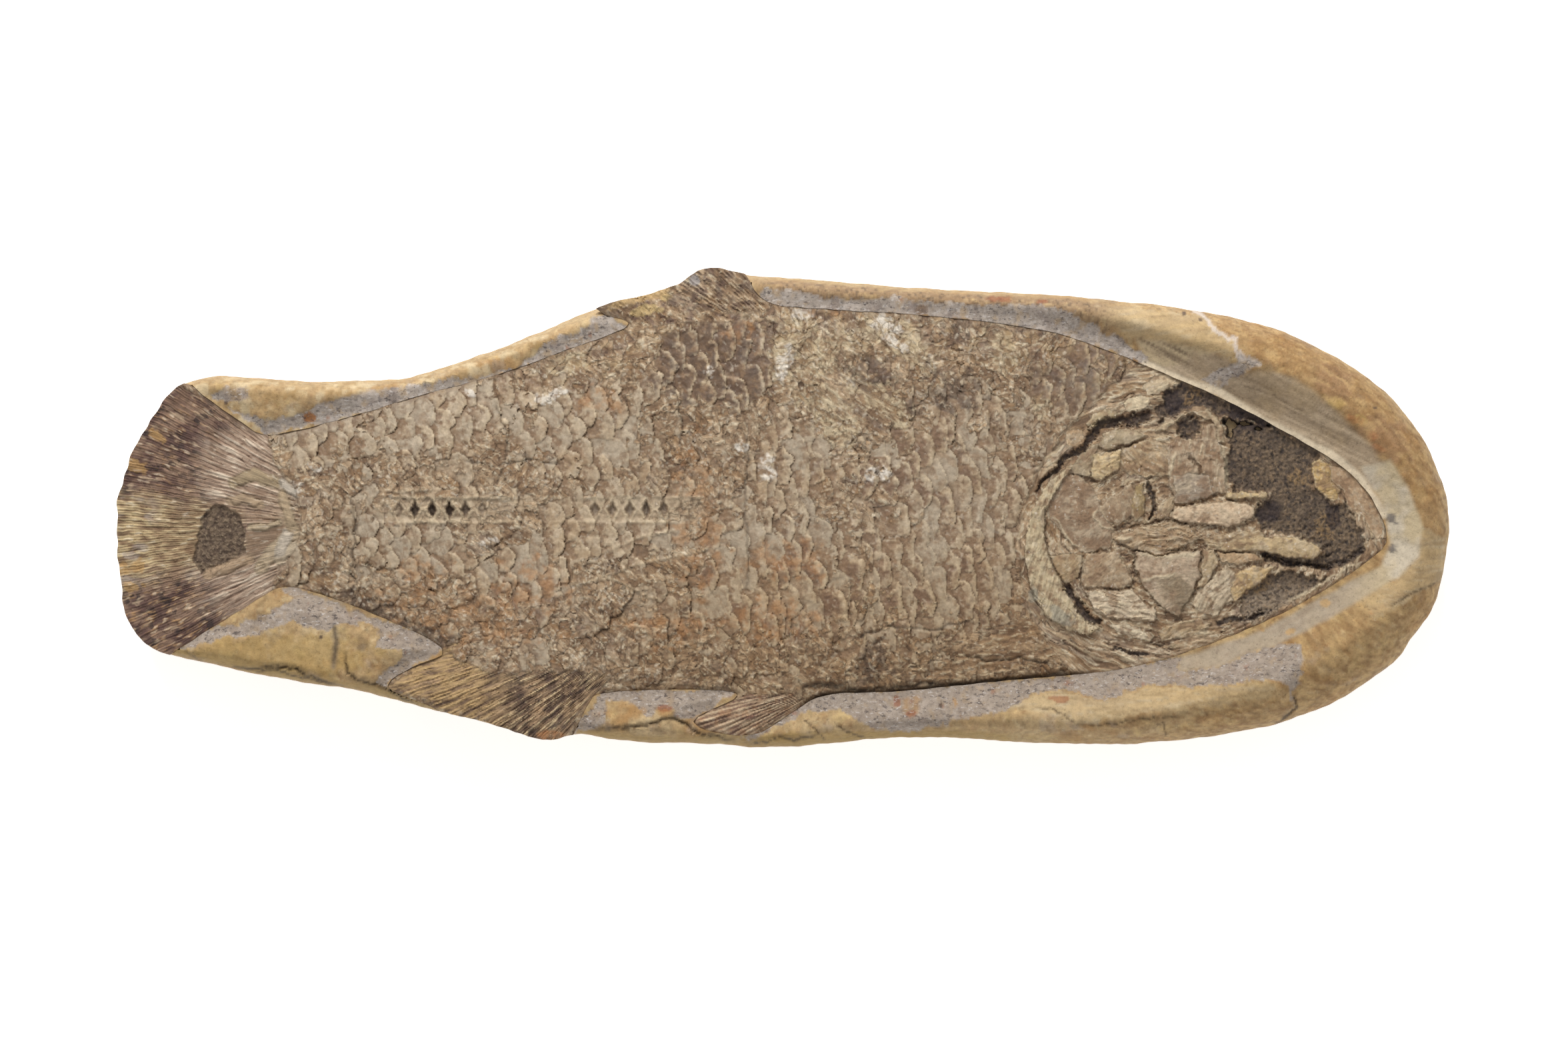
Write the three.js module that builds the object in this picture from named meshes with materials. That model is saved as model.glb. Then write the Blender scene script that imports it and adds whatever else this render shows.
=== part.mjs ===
// Fossil fish slab: half of a split limestone nodule, with a bony fish lying in relief on its face.
// Millimetres. +X runs from tail to snout, +Y towards the fish's back, +Z out of the fossil's face.
// The origin is in the middle of the flat underside that the slab rests on.
import * as THREE from "three";

// Driving dimensions
const LENGTH = 400;
const RIM_SPACING = 5.2;
const CUT_SPACING = 4.6;
const LEAST_GAP = 1.0;
const RIM_GAP = 2.3;

// The nodule's widest outline, seen from above: tail edge, back, nose, throat, belly, anal fin.
const NODULE_OUTLINE = [
  [-200, -1], [-199, 4], [-197.5, 11], [-195, 18], [-189.5, 27], [-185, 33], [-180, 37.5],
  [-171, 39.5], [-157, 39], [-142, 38], [-118, 38.5], [-108, 40.5], [-98, 43.5], [-75, 52],
  [-56, 60], [-43, 63.5], [-32, 67], [-26, 71], [-20, 72], [-13, 70.5], [-5, 69.5],
  [21, 67.5], [50, 65.5], [80, 64], [102, 62], [120, 60], [138.5, 56.5], [157, 50],
  [175, 39.5], [185, 30.5], [193.5, 18.5], [199, 4], [200, -7], [198.5, -18], [196, -28],
  [189, -39], [181.5, -48], [166, -58], [147.5, -65], [129, -68.5], [111, -70.5], [92, -71],
  [65, -70], [44, -69], [26, -69.5], [12, -71], [-8, -72], [-20, -71], [-47, -70],
  [-62, -68], [-70, -69.5], [-78.5, -68], [-88.5, -64.5], [-108, -60], [-127, -55],
  [-147, -52], [-162, -49], [-174, -46.5], [-186, -43.5], [-194.5, -37.5], [-198, -29], [-199.5, -16],
];

// The flat underside, which is smaller than the nodule because the sides curve in below.
const FOOT_OUTLINE = [
  [-176, -2], [-170, 20], [-140, 24], [-100, 27], [-50, 40], [0, 49], [60, 48], [110, 43],
  [150, 32], [174, 8], [176, -12], [160, -36], [120, -49], [60, -54], [0, -54], [-60, -50],
  [-110, -41], [-150, -34], [-171, -25],
];

// The edge of the prepared fossil: where the fish meets the cut margin of stone, fins included.
// Where a fin runs off the slab, the line passes outside the nodule.
const FISH_OUTLINE = [
  [-206, 0], [-202, 20], [-190, 36], [-179.5, 37.5], [-173, 33], [-161.5, 25], [-156, 22],
  [-147, 23], [-127.5, 28], [-108, 34], [-85.5, 40], [-66, 47], [-46.5, 54.5], [-53.5, 58],
  [-58, 63], [-40, 70], [-26, 76], [-14, 73], [-8, 64.5], [-3, 61], [7, 60], [21.5, 59],
  [39, 58], [63.5, 55.5], [83, 52], [100.5, 46], [109, 42.5], [129, 34], [147.5, 24.5],
  [166, 13.5], [175, 5], [180, -4], [181, -9], [179.5, -12.5], [169, -20.5], [152, -30.5],
  [134, -38.5], [115.5, -45], [97, -49], [65, -52], [34.5, -55], [13.5, -56], [4, -60.5],
  [-7.5, -67.5], [-20, -67.5], [-27, -63.5], [-15, -57.5], [-14.5, -55.5], [-27, -54.5],
  [-53.5, -55.5], [-59, -60], [-66, -72], [-80, -74], [-104, -60.5], [-118.5, -54], [-112, -48],
  [-102, -42.5], [-122.5, -32], [-142, -25], [-151, -24], [-161.5, -30], [-173, -37], [-181, -42],
  [-190, -46], [-202, -34],
];

// Heights at stations along X, from tail to snout: [x, z].
const CREST = [[-200, 31], [-150, 36.5], [-90, 40], [0, 42], [80, 44], [150, 44.5], [200, 37]];
const WAIST = [[-200, 15], [-100, 18], [0, 20], [100, 22], [200, 19]];
const FISH_EDGE = [
  [-200, 28], [-150, 33], [-90, 36], [0, 38], [60, 37.5], [90, 35], [130, 32.5], [181, 30.5],
];
const FISH_DOME = [[-200, 0.6], [-150, 1.8], [-90, 4], [0, 5.5], [50, 5], [80, 3], [110, 2], [181, 0.5]];
const SHOULDER = [[-200, 4], [-100, 6], [0, 6], [80, 9], [130, 16], [200, 22]];
const MARGIN = [[-200, 5], [-150, 9], [-50, 12], [60, 13], [110, 18], [200, 22]];
const MARGIN_WALL = 1.3;
const FIN_EDGE_DROP = 0.6;

// Scales lie in columns that lean towards the tail; each one overlaps the next towards the head.
const SCALE_PITCH = 4.6;
const SCALE_ROW = 8.8;
const SCALE_RADIUS = 5.5;
const SCALE_STEP = 0.9;
const SCALE_LEAN = 0.32;
// Where points go along a scale's free edge: share of its radius, and direction in degrees.
const SCALE_EDGE = [[0.96, -38], [0.96, 6], [1.1, -16], [1.1, 30]];
const SCALED_FROM = -150;
const SCALED_TO = 66;

// Backbone, laid bare in two places between the scales: [first x, number of vertebrae].
const BACKBONE_Y = -0.6;
const VERTEBRA_PITCH = 4.9;
const VERTEBRA_HALF_HEIGHT = 2.6;
const VERTEBRA_RUNS = [[-120.5, 7], [-58, 7]];

// Fins: fans of rays about a point, between two directions in degrees, over a span of radii.
const FINS = [
  { apex: [-136, -0.6], from: 139, to: 222, inner: 26, outer: 64, rays: 21, lift: 0.7 },
  { apex: [20, 42], from: 126, to: 160, inner: 32, outer: 66, rays: 8, lift: 0.6 },
  { apex: [-40.5, -29.5], from: 199, to: 238, inner: 32, outer: 74, rays: 11, lift: 0.6 },
  { apex: [9, -53.5], from: 190, to: 222, inner: 10, outer: 34, rays: 6, lift: 0.6 },
];

// The patch of bare stone in the fork of the tail.
const TAIL_PATCH = { centre: [-168, -7], radii: [6, 10] };

// Bones of the head, each a plate that stands above the floor of the head: outline and lift.
const HEAD_FLOOR_DROP = 1.8;
const HEAD_PLATES = [
  {
    name: "operculum",
    lift: 2.2,
    outline: [[79, 4], [83.5, 10], [89, 12.5], [96, 0.5], [98.5, -8], [91.5, -13], [82.5, -6]],
  },
  {
    name: "preopercle",
    lift: 2.8,
    outline: [[95, 2], [105, 8.5], [108.5, 8], [109, 0], [107.5, -4.5], [95.5, -4.5]],
  },
  { name: "cheek_fold", lift: 2.6, outline: [[92.5, 16], [104, 19.5], [103, 14.5], [99.5, 9.5], [94, 8]] },
  { name: "temple", lift: 2.4, outline: [[94.5, 18.5], [96, 22], [102, 24.5], [106, 23.5], [98.5, 18]] },
  {
    name: "brow",
    lift: 2.2,
    outline: [[112, 21], [116, 25], [121, 28.5], [128, 29], [132, 24], [132, 6], [126, 2], [112, 4]],
  },
  {
    name: "upper_jaw",
    lift: 2.8,
    outline: [[116, -2], [123, 1.5], [133, 4.6], [145, 4.6], [145, 2.6], [142, -2.5], [139, -5.5], [118, -5]],
  },
  {
    name: "tongue_bone",
    lift: 2.6,
    outline: [[132, -8.5], [146, -9.5], [158, -11], [162.5, -13.5], [160, -16], [148, -16.5], [136, -14]],
  },
  {
    name: "jaw_joint",
    lift: 2.4,
    outline: [[98.5, -10], [110, -7.5], [124.5, -9], [122, -12.6], [104, -13]],
  },
  {
    name: "subopercle",
    lift: 1.8,
    outline: [[90.5, -14.5], [104, -14.5], [104.5, -22], [102.5, -24], [90.5, -24]],
  },
  {
    name: "angular",
    lift: 2.6,
    outline: [[105, -14], [124.5, -14], [124, -24], [116, -34], [112, -32], [107, -22]],
  },
  {
    name: "gill_rays",
    lift: 2.4,
    outline: [[90, -25], [97, -24.5], [109, -28], [112, -34], [111, -38.5], [99, -37]],
  },
  {
    name: "lower_jaw",
    lift: 2.2,
    outline: [[126, -7], [131, -8], [134, -17], [146, -17.5], [137, -27], [133, -34], [126, -36]],
  },
  {
    name: "shoulder_bone",
    lift: 2.8,
    outline: [
      [85, 13.5], [78, 4], [74.5, -4], [72.5, -14], [72.5, -24], [76, -33], [85, -39.5], [93, -40],
      [84.5, -34.5], [80, -27], [78.5, -18], [78.5, -9], [80, -1], [87, 10],
    ],
  },
  {
    name: "snout",
    lift: 1.4,
    outline: [[160, 10], [167, 11.5], [174, 4], [179, -4], [179, -10], [173, -4], [167, 3]],
  },
];

// The deep hole beside the brow.
const EYE_PIT = { centre: [138.5, 24.3], radii: [5.5, 2.4], depth: 4.5 };

const STONE = new THREE.MeshStandardMaterial({ color: 0xa88a62, roughness: 0.85, metalness: 0 });

// Linear reading of a table of [x, value] stations.
function along(stations, x) {
  const last = stations.length - 1;
  if (x <= stations[0][0]) return stations[0][1];
  if (x >= stations[last][0]) return stations[last][1];
  const i = stations.findIndex((s) => s[0] > x) - 1;
  const [x0, v0] = stations[i];
  const [x1, v1] = stations[i + 1];
  return v0 + ((v1 - v0) * (x - x0)) / (x1 - x0);
}

function smooth(from, to, value) {
  return THREE.MathUtils.smoothstep(value, from, to);
}

// A smooth closed line through control points, resampled at even steps.
function closedLine(controls, count) {
  const points = controls.map(([x, y]) => new THREE.Vector3(x, y, 0));
  const curve = new THREE.CatmullRomCurve3(points, true, "centripetal");
  curve.arcLengthDivisions = controls.length * 20;
  return curve.getSpacedPoints(count).slice(0, count).map((p) => [p.x, p.y]);
}

function lineLength(controls) {
  const closed = [...controls, controls[0]];
  return closed.slice(1).reduce((sum, [x, y], i) => sum + Math.hypot(x - closed[i][0], y - closed[i][1]), 0);
}

// Signed distance to a closed line: positive inside it, negative outside.
function depthIn(line, x, y) {
  let inside = false;
  let least = Infinity;
  for (let i = 0; i < line.length; i++) {
    const [ax, ay] = line[(i + line.length - 1) % line.length];
    const [bx, by] = line[i];
    const dx = bx - ax;
    const dy = by - ay;
    const t = THREE.MathUtils.clamp(((x - ax) * dx + (y - ay) * dy) / (dx * dx + dy * dy), 0, 1);
    least = Math.min(least, Math.hypot(x - ax - t * dx, y - ay - t * dy));
    if (ay > y !== by > y && x < ax + ((y - ay) * dx) / dy) inside = !inside;
  }
  return inside ? least : -least;
}

const rimLine = closedLine(NODULE_OUTLINE, Math.round(lineLength(NODULE_OUTLINE) / RIM_SPACING));
const footLine = closedLine(FOOT_OUTLINE, rimLine.length);
const fishLine = closedLine(FISH_OUTLINE, Math.round(lineLength(FISH_OUTLINE) / CUT_SPACING));

// A repeatable number from 0 to 1 for a pair of whole numbers.
function chance(i, j) {
  const s = Math.sin(i * 127.1 + j * 311.7) * 43758.5453;
  return s - Math.floor(s);
}

function scaleCentre(column, row) {
  const y = (row + (column % 2 ? 0.5 : 0)) * SCALE_ROW + (chance(column, row) - 0.5) * 1.2;
  return [column * SCALE_PITCH - SCALE_LEAN * y + (chance(row, column) - 0.5), y];
}

// Height of the scale that covers a point: it rises towards its free edge, which faces the head.
function scaleRelief(x, y) {
  const first = Math.floor((x + SCALE_LEAN * y - SCALE_RADIUS) / SCALE_PITCH) - 1;
  for (let column = first; column < first + 6; column++) {
    const near = Math.round(y / SCALE_ROW);
    for (let row = near - 2; row <= near + 2; row++) {
      const [cx, cy] = scaleCentre(column, row);
      const reach = Math.hypot(x - cx, y - cy) / SCALE_RADIUS;
      if (reach < 1) {
        const rise = 0.5 + (0.5 * (x - cx)) / SCALE_RADIUS;
        return SCALE_STEP * rise + 0.5 * (chance(column + 9, row) - 0.5);
      }
    }
  }
  return 0;
}

// Hourglass vertebrae leave diamond hollows between them.
function vertebraRelief(x, y) {
  for (const [start, count] of VERTEBRA_RUNS) {
    const place = (x - start) / VERTEBRA_PITCH;
    const off = Math.abs(y - BACKBONE_Y) / VERTEBRA_HALF_HEIGHT;
    if (place > -0.5 && place < count - 0.5 && off < 1.3) {
      const fromHollow = Math.abs(place - Math.round(place)) * 2;
      return fromHollow * 1.1 + off < 0.9 ? -1.6 : 0.5;
    }
  }
  return null;
}

function inVertebrae(x, y) {
  return vertebraRelief(x, y) !== null;
}

// Ray ridges of the fin whose fan holds a point, or null off the fins.
function finRelief(x, y) {
  for (const fin of FINS) {
    const dx = x - fin.apex[0];
    const dy = y - fin.apex[1];
    const angle = (THREE.MathUtils.radToDeg(Math.atan2(dy, dx)) + 360) % 360;
    const radius = Math.hypot(dx, dy);
    if (angle > fin.from - 2 && angle < fin.to + 2 && radius > fin.inner && radius < fin.outer + 6) {
      const turn = ((angle - fin.from) / (fin.to - fin.from)) * fin.rays;
      const fade = smooth(fin.inner, fin.inner + 8, radius);
      return fin.lift * fade * Math.cos(2 * Math.PI * turn);
    }
  }
  return null;
}

// Below 0 inside an ellipse, 0 on it.
function beyond({ centre, radii }, x, y) {
  return Math.hypot((x - centre[0]) / radii[0], (y - centre[1]) / radii[1]) - 1;
}

function headRelief(x, y) {
  let relief = -HEAD_FLOOR_DROP;
  for (const plate of HEAD_PLATES) {
    const depth = depthIn(plate.outline, x, y);
    relief = Math.max(relief, -HEAD_FLOOR_DROP + plate.lift * smooth(-0.2, 0.6, depth));
  }
  return beyond(EYE_PIT, x, y) < 0 ? relief - EYE_PIT.depth : relief;
}

// Height of the slab's upper side over a point.
function faceHeight(x, y) {
  const fromRim = Math.max(depthIn(rimLine, x, y), 0);
  const inFish = depthIn(fishLine, x, y);
  if (inFish <= 0) {
    const waist = along(WAIST, x);
    const crest = along(CREST, x);
    const inward = 1 - Math.min(fromRim / along(SHOULDER, x), 1);
    const rounded = waist + (crest - waist) * Math.sqrt(1 - inward * inward);
    const foot = along(FISH_EDGE, x) + MARGIN_WALL;
    const cut = foot + (crest - foot) * smooth(0, along(MARGIN, x), -inFish);
    return Math.min(rounded, cut);
  }
  const base = along(FISH_EDGE, x) + along(FISH_DOME, x) * (1 - Math.exp(-inFish / 12));
  if (inHead(x, y)) return base + headRelief(x, y) * smooth(0, 2, inFish);
  if (beyond(TAIL_PATCH, x, y) < 0) return base - 0.8;
  const relief = vertebraRelief(x, y) ?? finRelief(x, y) ?? scaleRelief(x, y);
  return base + relief * smooth(0, 2, inFish);
}

// The head's rear edge is the curve of the shoulder bone.
function inHead(x, y) {
  return x > 74 + 0.012 * (y + 12) ** 2 - 2;
}

// Adds a point to the face unless it is off the slab or crowds a point that is there already.
const facePoints = [];
const cells = new Map();
function addPoint(x, y, gap = LEAST_GAP) {
  if (depthIn(rimLine, x, y) < RIM_GAP) return;
  const cx = Math.floor(x / 2);
  const cy = Math.floor(y / 2);
  for (let i = cx - 1; i <= cx + 1; i++) {
    for (let j = cy - 1; j <= cy + 1; j++) {
      for (const p of cells.get(i + "," + j) ?? []) if (Math.hypot(p[0] - x, p[1] - y) < gap) return;
    }
  }
  const key = cx + "," + cy;
  if (!cells.has(key)) cells.set(key, []);
  cells.get(key).push([x, y]);
  facePoints.push([x, y]);
}

function offTheFish(x, y) {
  return depthIn(fishLine, x, y) < -1;
}

// A row of points beside a closed line, at an offset that is positive inwards.
function addRing(line, offset, gap, wanted = () => true) {
  line.forEach(([x, y], i) => {
    const [ax, ay] = line[(i + line.length - 1) % line.length];
    const [bx, by] = line[(i + 1) % line.length];
    const long = Math.hypot(bx - ax, by - ay);
    const nx = (by - ay) / long;
    const ny = -(bx - ax) / long;
    const turn = depthIn(line, x + 0.1 * nx, y + 0.1 * ny) > 0 ? offset : -offset;
    if (wanted(x + turn * nx, y + turn * ny)) addPoint(x + turn * nx, y + turn * ny, gap);
  });
}

// Points on both sides of a closed line, so that the step there stays sharp.
function addStep(line, inward, outward, gap) {
  addRing(line, inward, gap);
  addRing(line, -outward, gap);
}

function addFinPoints() {
  for (const fin of FINS) {
    const lines = fin.rays * 2;
    const stations = Math.round((fin.outer - fin.inner) / 9);
    for (let k = 0; k <= lines; k++) {
      const angle = THREE.MathUtils.degToRad(fin.from + ((fin.to - fin.from) * k) / lines);
      for (let s = 0; s <= stations; s++) {
        const radius = fin.inner + ((fin.outer - fin.inner) * s) / stations;
        const x = fin.apex[0] + radius * Math.cos(angle);
        const y = fin.apex[1] + radius * Math.sin(angle);
        if (depthIn(fishLine, x, y) > 0.8) addPoint(x, y, 0.6);
      }
    }
  }
}

function addVertebraPoints() {
  for (const [start, count] of VERTEBRA_RUNS) {
    for (let k = 0; k < count; k++) {
      const x = start + k * VERTEBRA_PITCH;
      addPoint(x, BACKBONE_Y, 0.5);
      for (const side of [-1, 1]) {
        addPoint(x, BACKBONE_Y + side * VERTEBRA_HALF_HEIGHT, 0.5);
        addPoint(x + side * 0.42 * VERTEBRA_PITCH, BACKBONE_Y, 0.5);
        addPoint(x + side * 0.5 * VERTEBRA_PITCH, BACKBONE_Y + VERTEBRA_HALF_HEIGHT * 1.1, 0.5);
        addPoint(x + side * 0.5 * VERTEBRA_PITCH, BACKBONE_Y - VERTEBRA_HALF_HEIGHT * 1.1, 0.5);
      }
    }
  }
}

function addHeadPoints() {
  for (const plate of HEAD_PLATES) {
    const count = Math.round(lineLength(plate.outline) / 3.2);
    addStep(closedLine(plate.outline, count), 0.6, 0.5, 0.7);
  }
  for (const share of [0.3, 0.95, 1.2]) {
    for (let k = 0; k < 10; k++) {
      const angle = (k / 10) * 2 * Math.PI;
      const [cx, cy] = EYE_PIT.centre;
      const [rx, ry] = EYE_PIT.radii;
      addPoint(cx + share * rx * Math.cos(angle), cy + share * ry * Math.sin(angle), 0.6);
    }
  }
}

// Points along the free edge of each scale, and just beyond it.
function addScalePoints() {
  const rows = Math.ceil(60 / SCALE_ROW);
  const first = Math.floor((SCALED_FROM - 20) / SCALE_PITCH);
  const last = Math.ceil((SCALED_TO + 20) / SCALE_PITCH);
  for (let column = first; column < last; column++) {
    for (let row = -rows; row <= rows; row++) {
      const [cx, cy] = scaleCentre(column, row);
      for (const [share, turn] of SCALE_EDGE) {
        const x = cx + share * SCALE_RADIUS * Math.cos(THREE.MathUtils.degToRad(turn));
        const y = cy + share * SCALE_RADIUS * Math.sin(THREE.MathUtils.degToRad(turn));
        const scaled = x > SCALED_FROM && depthIn(fishLine, x, y) > 1.6 && !inHead(x, y);
        if (scaled && !inVertebrae(x, y) && finRelief(x, y) === null) addPoint(x, y, LEAST_GAP);
      }
    }
  }
}

// Rings inside the rim and round the fish give the shoulder and the cut margin their section.
function addMarginPoints() {
  for (const inset of [2.6, 6.5, 12]) addRing(rimLine, inset, 2, offTheFish);
  for (const outset of [3.5, 8, 14]) addRing(fishLine, -outset, 2.6, offTheFish);
}

// A loose lattice fills what no feature has covered.
function addFillPoints(step) {
  for (let x = -LENGTH / 2; x < LENGTH / 2; x += step) {
    for (let y = -LENGTH / 4; y < LENGTH / 4; y += step) {
      addPoint(x + step * 0.3 * chance(x, y), y, step * 0.7);
    }
  }
}

function circleThrough(points, a, b, c) {
  const [ax, ay] = points[a];
  const bx = points[b][0] - ax;
  const by = points[b][1] - ay;
  const cx = points[c][0] - ax;
  const cy = points[c][1] - ay;
  const d = 2 * (bx * cy - by * cx);
  const ux = (cy * (bx * bx + by * by) - by * (cx * cx + cy * cy)) / d;
  const uy = (bx * (cx * cx + cy * cy) - cx * (bx * bx + by * by)) / d;
  return { corners: [a, b, c], x: ax + ux, y: ay + uy, squared: ux * ux + uy * uy };
}

// Delaunay triangles of a set of points, anticlockwise seen from above.
function triangulate(points) {
  const far = LENGTH * 20;
  const all = [...points, [-far, -far], [far, -far], [0, far]];
  const count = points.length;
  let triangles = [circleThrough(all, count, count + 1, count + 2)];
  points.forEach(([x, y], index) => {
    const border = new Map();
    const kept = [];
    for (const t of triangles) {
      if ((x - t.x) ** 2 + (y - t.y) ** 2 >= t.squared) {
        kept.push(t);
        continue;
      }
      t.corners.forEach((a, k) => {
        const b = t.corners[(k + 1) % 3];
        if (!border.delete(b + "-" + a)) border.set(a + "-" + b, [a, b]);
      });
    }
    for (const [a, b] of border.values()) kept.push(circleThrough(all, a, b, index));
    triangles = kept;
  });
  return triangles.map((t) => t.corners).filter((corners) => corners.every((c) => c < count));
}

// The sides below the widest line: how far in towards the foot, and how high up.
const SIDE_RINGS = [[0.1, 0.55], [0.42, 0.2], [1, 0]];

function slabGeometry() {
  // closedLine follows the listed order, which runs clockwise, and the sides need it the other way.
  const rim = [...rimLine].reverse();
  const foot = [...footLine].reverse();
  const count = rim.length;
  addStep(fishLine, 0.45, 0.45, 0.7);
  addMarginPoints();
  addHeadPoints();
  addFinPoints();
  addVertebraPoints();
  addScalePoints();
  addFillPoints(6.5);
  const flat = [...rim, ...facePoints];
  const rimHeight = ([x, y]) => {
    return depthIn(fishLine, x, y) > 0 ? along(FISH_EDGE, x) - FIN_EDGE_DROP : along(WAIST, x);
  };
  const positions = flat.flatMap((p, i) => [p[0], p[1], i < count ? rimHeight(p) : faceHeight(p[0], p[1])]);
  const faces = triangulate(flat).filter((corners) => {
    const x = corners.reduce((sum, c) => sum + flat[c][0], 0) / 3;
    const y = corners.reduce((sum, c) => sum + flat[c][1], 0) / 3;
    return corners.some((c) => c >= count) || depthIn(rimLine, x, y) > 0;
  });
  let upper = 0;
  for (const [inward, share] of SIDE_RINGS) {
    const lower = positions.length / 3;
    rim.forEach((p, i) => {
      const x = p[0] + (foot[i][0] - p[0]) * inward;
      const y = p[1] + (foot[i][1] - p[1]) * inward;
      positions.push(x, y, rimHeight(p) * share);
    });
    for (let i = 0; i < count; i++) {
      const next = (i + 1) % count;
      faces.push([lower + i, lower + next, upper + next], [lower + i, upper + next, upper + i]);
    }
    upper = lower;
  }
  const footShape = foot.map(([x, y]) => new THREE.Vector2(x, y));
  for (const [a, b, c] of THREE.ShapeUtils.triangulateShape(footShape, [])) {
    faces.push([upper + c, upper + b, upper + a]);
  }
  const geometry = new THREE.BufferGeometry();
  geometry.setAttribute("position", new THREE.Float32BufferAttribute(positions, 3));
  geometry.setIndex(faces.flat());
  geometry.computeVertexNormals();
  return geometry;
}

const slab = new THREE.Mesh(slabGeometry(), STONE);
slab.name = "fossil_fish_slab";

// The origin goes in the middle of the slab's length and width.
slab.geometry.computeBoundingBox();
const middle = slab.geometry.boundingBox.getCenter(new THREE.Vector3());
slab.position.set(-middle.x, -middle.y, 0);

const group = new THREE.Group();
group.add(slab);

export default group;
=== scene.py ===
"""Fossil fish slab: the lower half of a split limestone nodule with a bony fish in relief on its face.

Shapes are worked out in millimetres and written to the meshes in metres. +X runs from the fish's tail to
its snout, +Y towards its back, +Z out of the face. Places on the face are given in the photo's pixels,
five to a millimetre, by at(), and everything on the face is drawn by code.
"""

import bpy
import math
import numpy as np
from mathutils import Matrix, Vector, geometry


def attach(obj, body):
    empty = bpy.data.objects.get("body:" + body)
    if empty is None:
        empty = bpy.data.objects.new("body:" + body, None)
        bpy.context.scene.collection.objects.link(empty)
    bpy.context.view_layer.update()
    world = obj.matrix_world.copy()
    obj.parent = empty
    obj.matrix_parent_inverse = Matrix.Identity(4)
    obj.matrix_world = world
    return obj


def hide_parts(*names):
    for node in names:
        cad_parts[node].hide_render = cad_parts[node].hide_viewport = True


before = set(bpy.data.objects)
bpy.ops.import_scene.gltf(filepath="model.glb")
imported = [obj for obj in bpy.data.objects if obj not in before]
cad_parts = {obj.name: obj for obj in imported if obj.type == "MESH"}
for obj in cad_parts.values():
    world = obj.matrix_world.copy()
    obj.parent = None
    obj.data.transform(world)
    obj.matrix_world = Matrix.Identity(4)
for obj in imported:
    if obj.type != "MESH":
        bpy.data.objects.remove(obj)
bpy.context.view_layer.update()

MM = 0.001
PIXELS_PER_MM = 5.0
PHOTO_SIZE = (2352, 1568)
# The pixel of the photo that lies at the frame's origin.
PHOTO_ORIGIN = (1175, 762)

# The nodule's widest outline, the flat foot it rests on, and the edge of the prepared fossil, in mm.
NODULE_OUTLINE = [
    (-200, -1), (-199, 4), (-197.5, 11), (-195, 18), (-189.5, 27), (-185, 33), (-180, 37.5),
    (-171, 39.5), (-157, 39), (-142, 38), (-118, 38.5), (-108, 40.5), (-98, 43.5), (-75, 52), (-56, 60),
    (-43, 63.5), (-32, 67), (-26, 71), (-20, 72), (-13, 70.5), (-5, 69.5), (21, 67.5), (50, 65.5),
    (80, 64), (102, 62), (120, 60), (138.5, 56.5), (157, 50), (175, 39.5), (185, 30.5), (193.5, 18.5),
    (199, 4), (200, -7), (198.5, -18), (196, -28), (189, -39), (181.5, -48), (166, -58), (147.5, -65),
    (129, -68.5), (111, -70.5), (92, -71), (65, -70), (44, -69), (26, -69.5), (12, -71), (-8, -72),
    (-20, -71), (-47, -70), (-62, -68), (-70, -69.5), (-78.5, -68), (-88.5, -64.5), (-108, -60),
    (-127, -55), (-147, -52), (-162, -49), (-174, -46.5), (-186, -43.5), (-194.5, -37.5), (-198, -29),
    (-199.5, -16),
]
FOOT_OUTLINE = [
    (-176, -2), (-170, 20), (-140, 24), (-100, 27), (-50, 40), (0, 49), (60, 48), (110, 43), (150, 32),
    (174, 8), (176, -12), (160, -36), (120, -49), (60, -54), (0, -54), (-60, -50), (-110, -41),
    (-150, -34), (-171, -25),
]
FISH_OUTLINE = [
    (-206, 0), (-202, 20), (-190, 36), (-179.5, 37.5), (-173, 33), (-161.5, 25), (-156, 22), (-147, 23),
    (-127.5, 28), (-108, 34), (-85.5, 40), (-66, 47), (-46.5, 54.5), (-53.5, 58), (-58, 63), (-40, 70),
    (-26, 76), (-14, 73), (-8, 64.5), (-3, 61), (7, 60), (21.5, 59), (39, 58), (63.5, 55.5), (83, 52),
    (100.5, 46), (109, 42.5), (129, 34), (147.5, 24.5), (166, 13.5), (175, 5), (180, -4), (181, -9),
    (179.5, -12.5), (169, -20.5), (152, -30.5), (134, -38.5), (115.5, -45), (97, -49), (65, -52),
    (34.5, -55), (13.5, -56), (4, -60.5), (-7.5, -67.5), (-20, -67.5), (-27, -63.5), (-15, -57.5),
    (-14.5, -55.5), (-27, -54.5), (-53.5, -55.5), (-59, -60), (-66, -72), (-80, -74), (-104, -60.5),
    (-118.5, -54), (-112, -48), (-102, -42.5), (-122.5, -32), (-142, -25), (-151, -24), (-161.5, -30),
    (-173, -37), (-181, -42), (-190, -46), (-202, -34),
]

# Heights at stations along X.
CREST = [(-200, 31), (-150, 36.5), (-90, 40), (0, 42), (80, 44), (150, 44.5), (200, 37)]
WAIST = [(-200, 15), (-100, 18), (0, 20), (100, 22), (200, 19)]
FISH_EDGE = [(-200, 28), (-150, 33), (-90, 36), (0, 38), (60, 37.5), (90, 35), (130, 32.5), (181, 30.5)]
FISH_DOME = [(-200, 0.6), (-150, 1.8), (-90, 4), (0, 5.5), (50, 5), (80, 3), (110, 2), (181, 0.5)]
SHOULDER = [(-200, 4), (-100, 6), (0, 6), (80, 9), (130, 16), (200, 22)]
MARGIN = [(-200, 5), (-150, 9), (-50, 12), (60, 13), (110, 18), (200, 22)]
MARGIN_WALL = 0.8
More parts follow.
